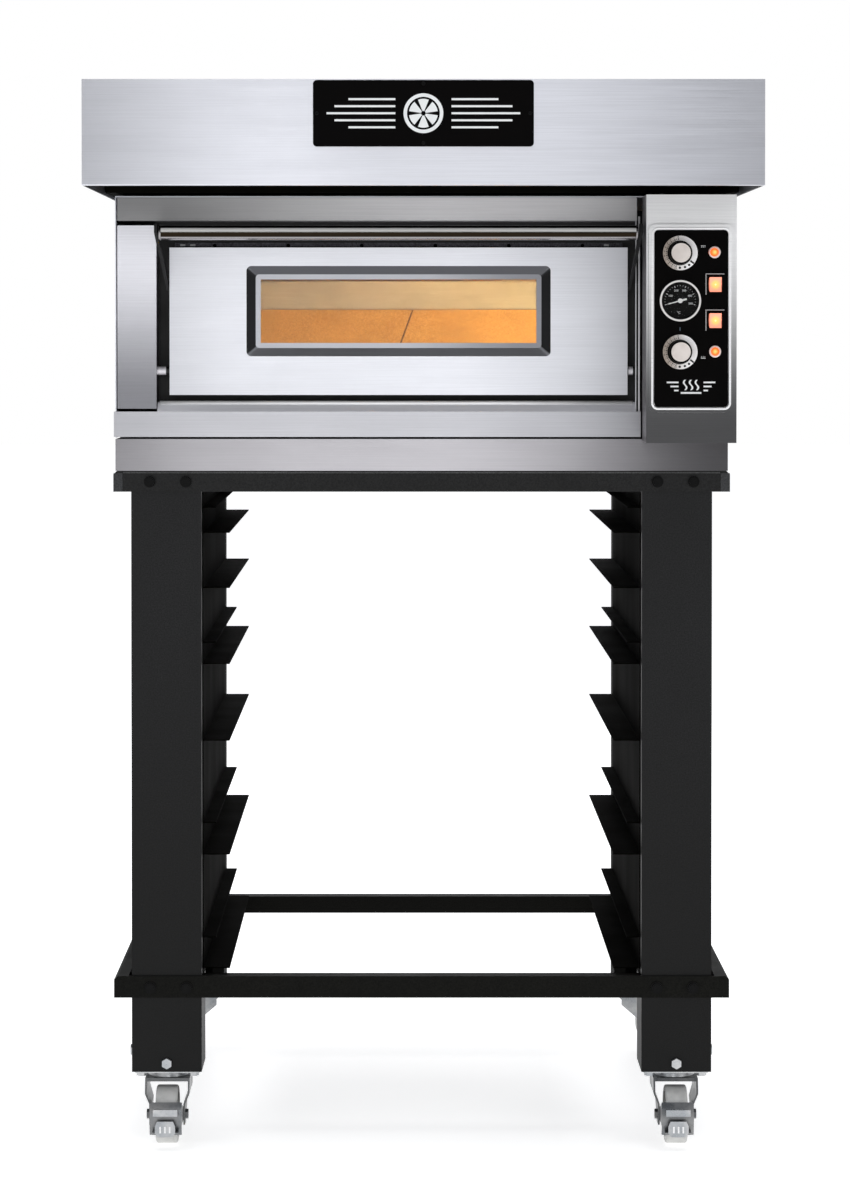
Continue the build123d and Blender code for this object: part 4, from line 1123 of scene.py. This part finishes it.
def studio():
    """White backdrop and floor, a dim blue-white fill and six soft boxes."""
    world = bpy.data.worlds.new("studio_world")
    bpy.context.scene.world = world
    world.use_nodes = True
    tree = world.node_tree
    backdrop = tree.nodes["Background"]
    backdrop.inputs[0].default_value = (1.0, 1.0, 1.0, 1.0)
    backdrop.inputs[1].default_value = 1.0
    fill = tree.nodes.new("ShaderNodeBackground")
    fill.inputs[0].default_value = (0.93, 0.95, 1.0, 1.0)
    fill.inputs[1].default_value = 0.34
    seen = tree.nodes.new("ShaderNodeLightPath")
    either = tree.nodes.new("ShaderNodeMixShader")
    tree.links.new(seen.outputs["Is Camera Ray"], either.inputs[0])
    tree.links.new(fill.outputs[0], either.inputs[1])
    tree.links.new(backdrop.outputs[0], either.inputs[2])
    tree.links.new(either.outputs[0], tree.nodes["World Output"].inputs[0])

    area_light("key_softbox", (-0.42, -6.2, 2.4), (-0.2, -0.2, 1.15), 1.1, 1.6, 15.0)
    area_light("low_softbox", (-0.42, -6.2, 0.5), (-0.2, -0.2, 1.15), 1.1, 0.7, 6.5)
    area_light("left_softbox", (-3.2, -4.4, 1.9), (-0.1, 0.0, 0.9), 1.6, 2.4, 11.0)
    area_light("fill_softbox", (3.4, -3.6, 2.0), (0.1, 0.0, 0.9), 1.4, 2.4, 16.0)
    area_light("overhead_softbox", (0.0, 0.0, 4.2), (0.0, 0.0, 0.0), 4.6, 4.6, 120.0)
    area_light("rear_softbox", (0.6, 4.6, 2.4), (0.0, 0.3, 0.9), 3.0, 2.4, 40.0)

    mesh = bpy.data.meshes.new("studio_floor")
    reach = 30.0
    mesh.from_pydata([(-reach, -reach, 0), (reach, -reach, 0), (reach, reach, 0), (-reach, reach, 0)], [],
                     [(0, 1, 2, 3)])
    floor = add_object("studio_floor", mesh)
    pale = Look("pale_floor", grey(0.9), 0.75, 0.0, Emission_Color=(*WHITE, 1.0), Emission_Strength=0.6)
    pale.link(pale.spread(pale.axis("Y"), 0.8, 5.0, 0.6, 0.74), "Emission Strength")
    pale.paint(pale.mix(pale.noise(2.0, 3.0), grey(0.88), grey(0.92)))
    mesh.materials.append(pale.material)


def chamber_light():
    """The oven is switched on: its lamp and the hot elements light the stone warm orange."""
    low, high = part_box("chamber_lamp")
    data = bpy.data.lights.new("chamber_glow", "POINT")
    data.energy = 2.7
    data.color = (1.0, 0.83, 0.36)
    data.shadow_soft_size = 0.02
    light = add_object("chamber_glow", data)
    light.location = (low.x - 0.03, (low.y + high.y) / 2 - 0.03, (low.z + high.z) / 2)
    area_light("element_glow", (-0.03, 0.10, 1.20), (-0.03, 0.5, 1.08), 0.55, 0.2, 0.8, (1.0, 0.86, 0.74))


def camera():
    """Stands 4.7 m in front of the oven, level with the door, and looks slightly down."""
    height = 1.126
    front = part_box("top_cover")[0].y
    distance = 4.73
    pitch = math.radians(1.0)
    focal = 104.27
    data = bpy.data.cameras.new("camera")
    data.sensor_width = 36.0
    data.lens = focal
    horizon_rise = 0.2161
    data.shift_x = 0.0212
    data.shift_y = math.tan(pitch) * focal / data.sensor_width - horizon_rise
    made = add_object("camera", data)
    made.location = (-0.030, front - distance, height)
    made.rotation_euler = (math.pi / 2 - pitch, 0.0, 0.0)
    bpy.context.scene.camera = made


studio()
chamber_light()
camera()
bpy.context.scene.view_settings.view_transform = "Standard"
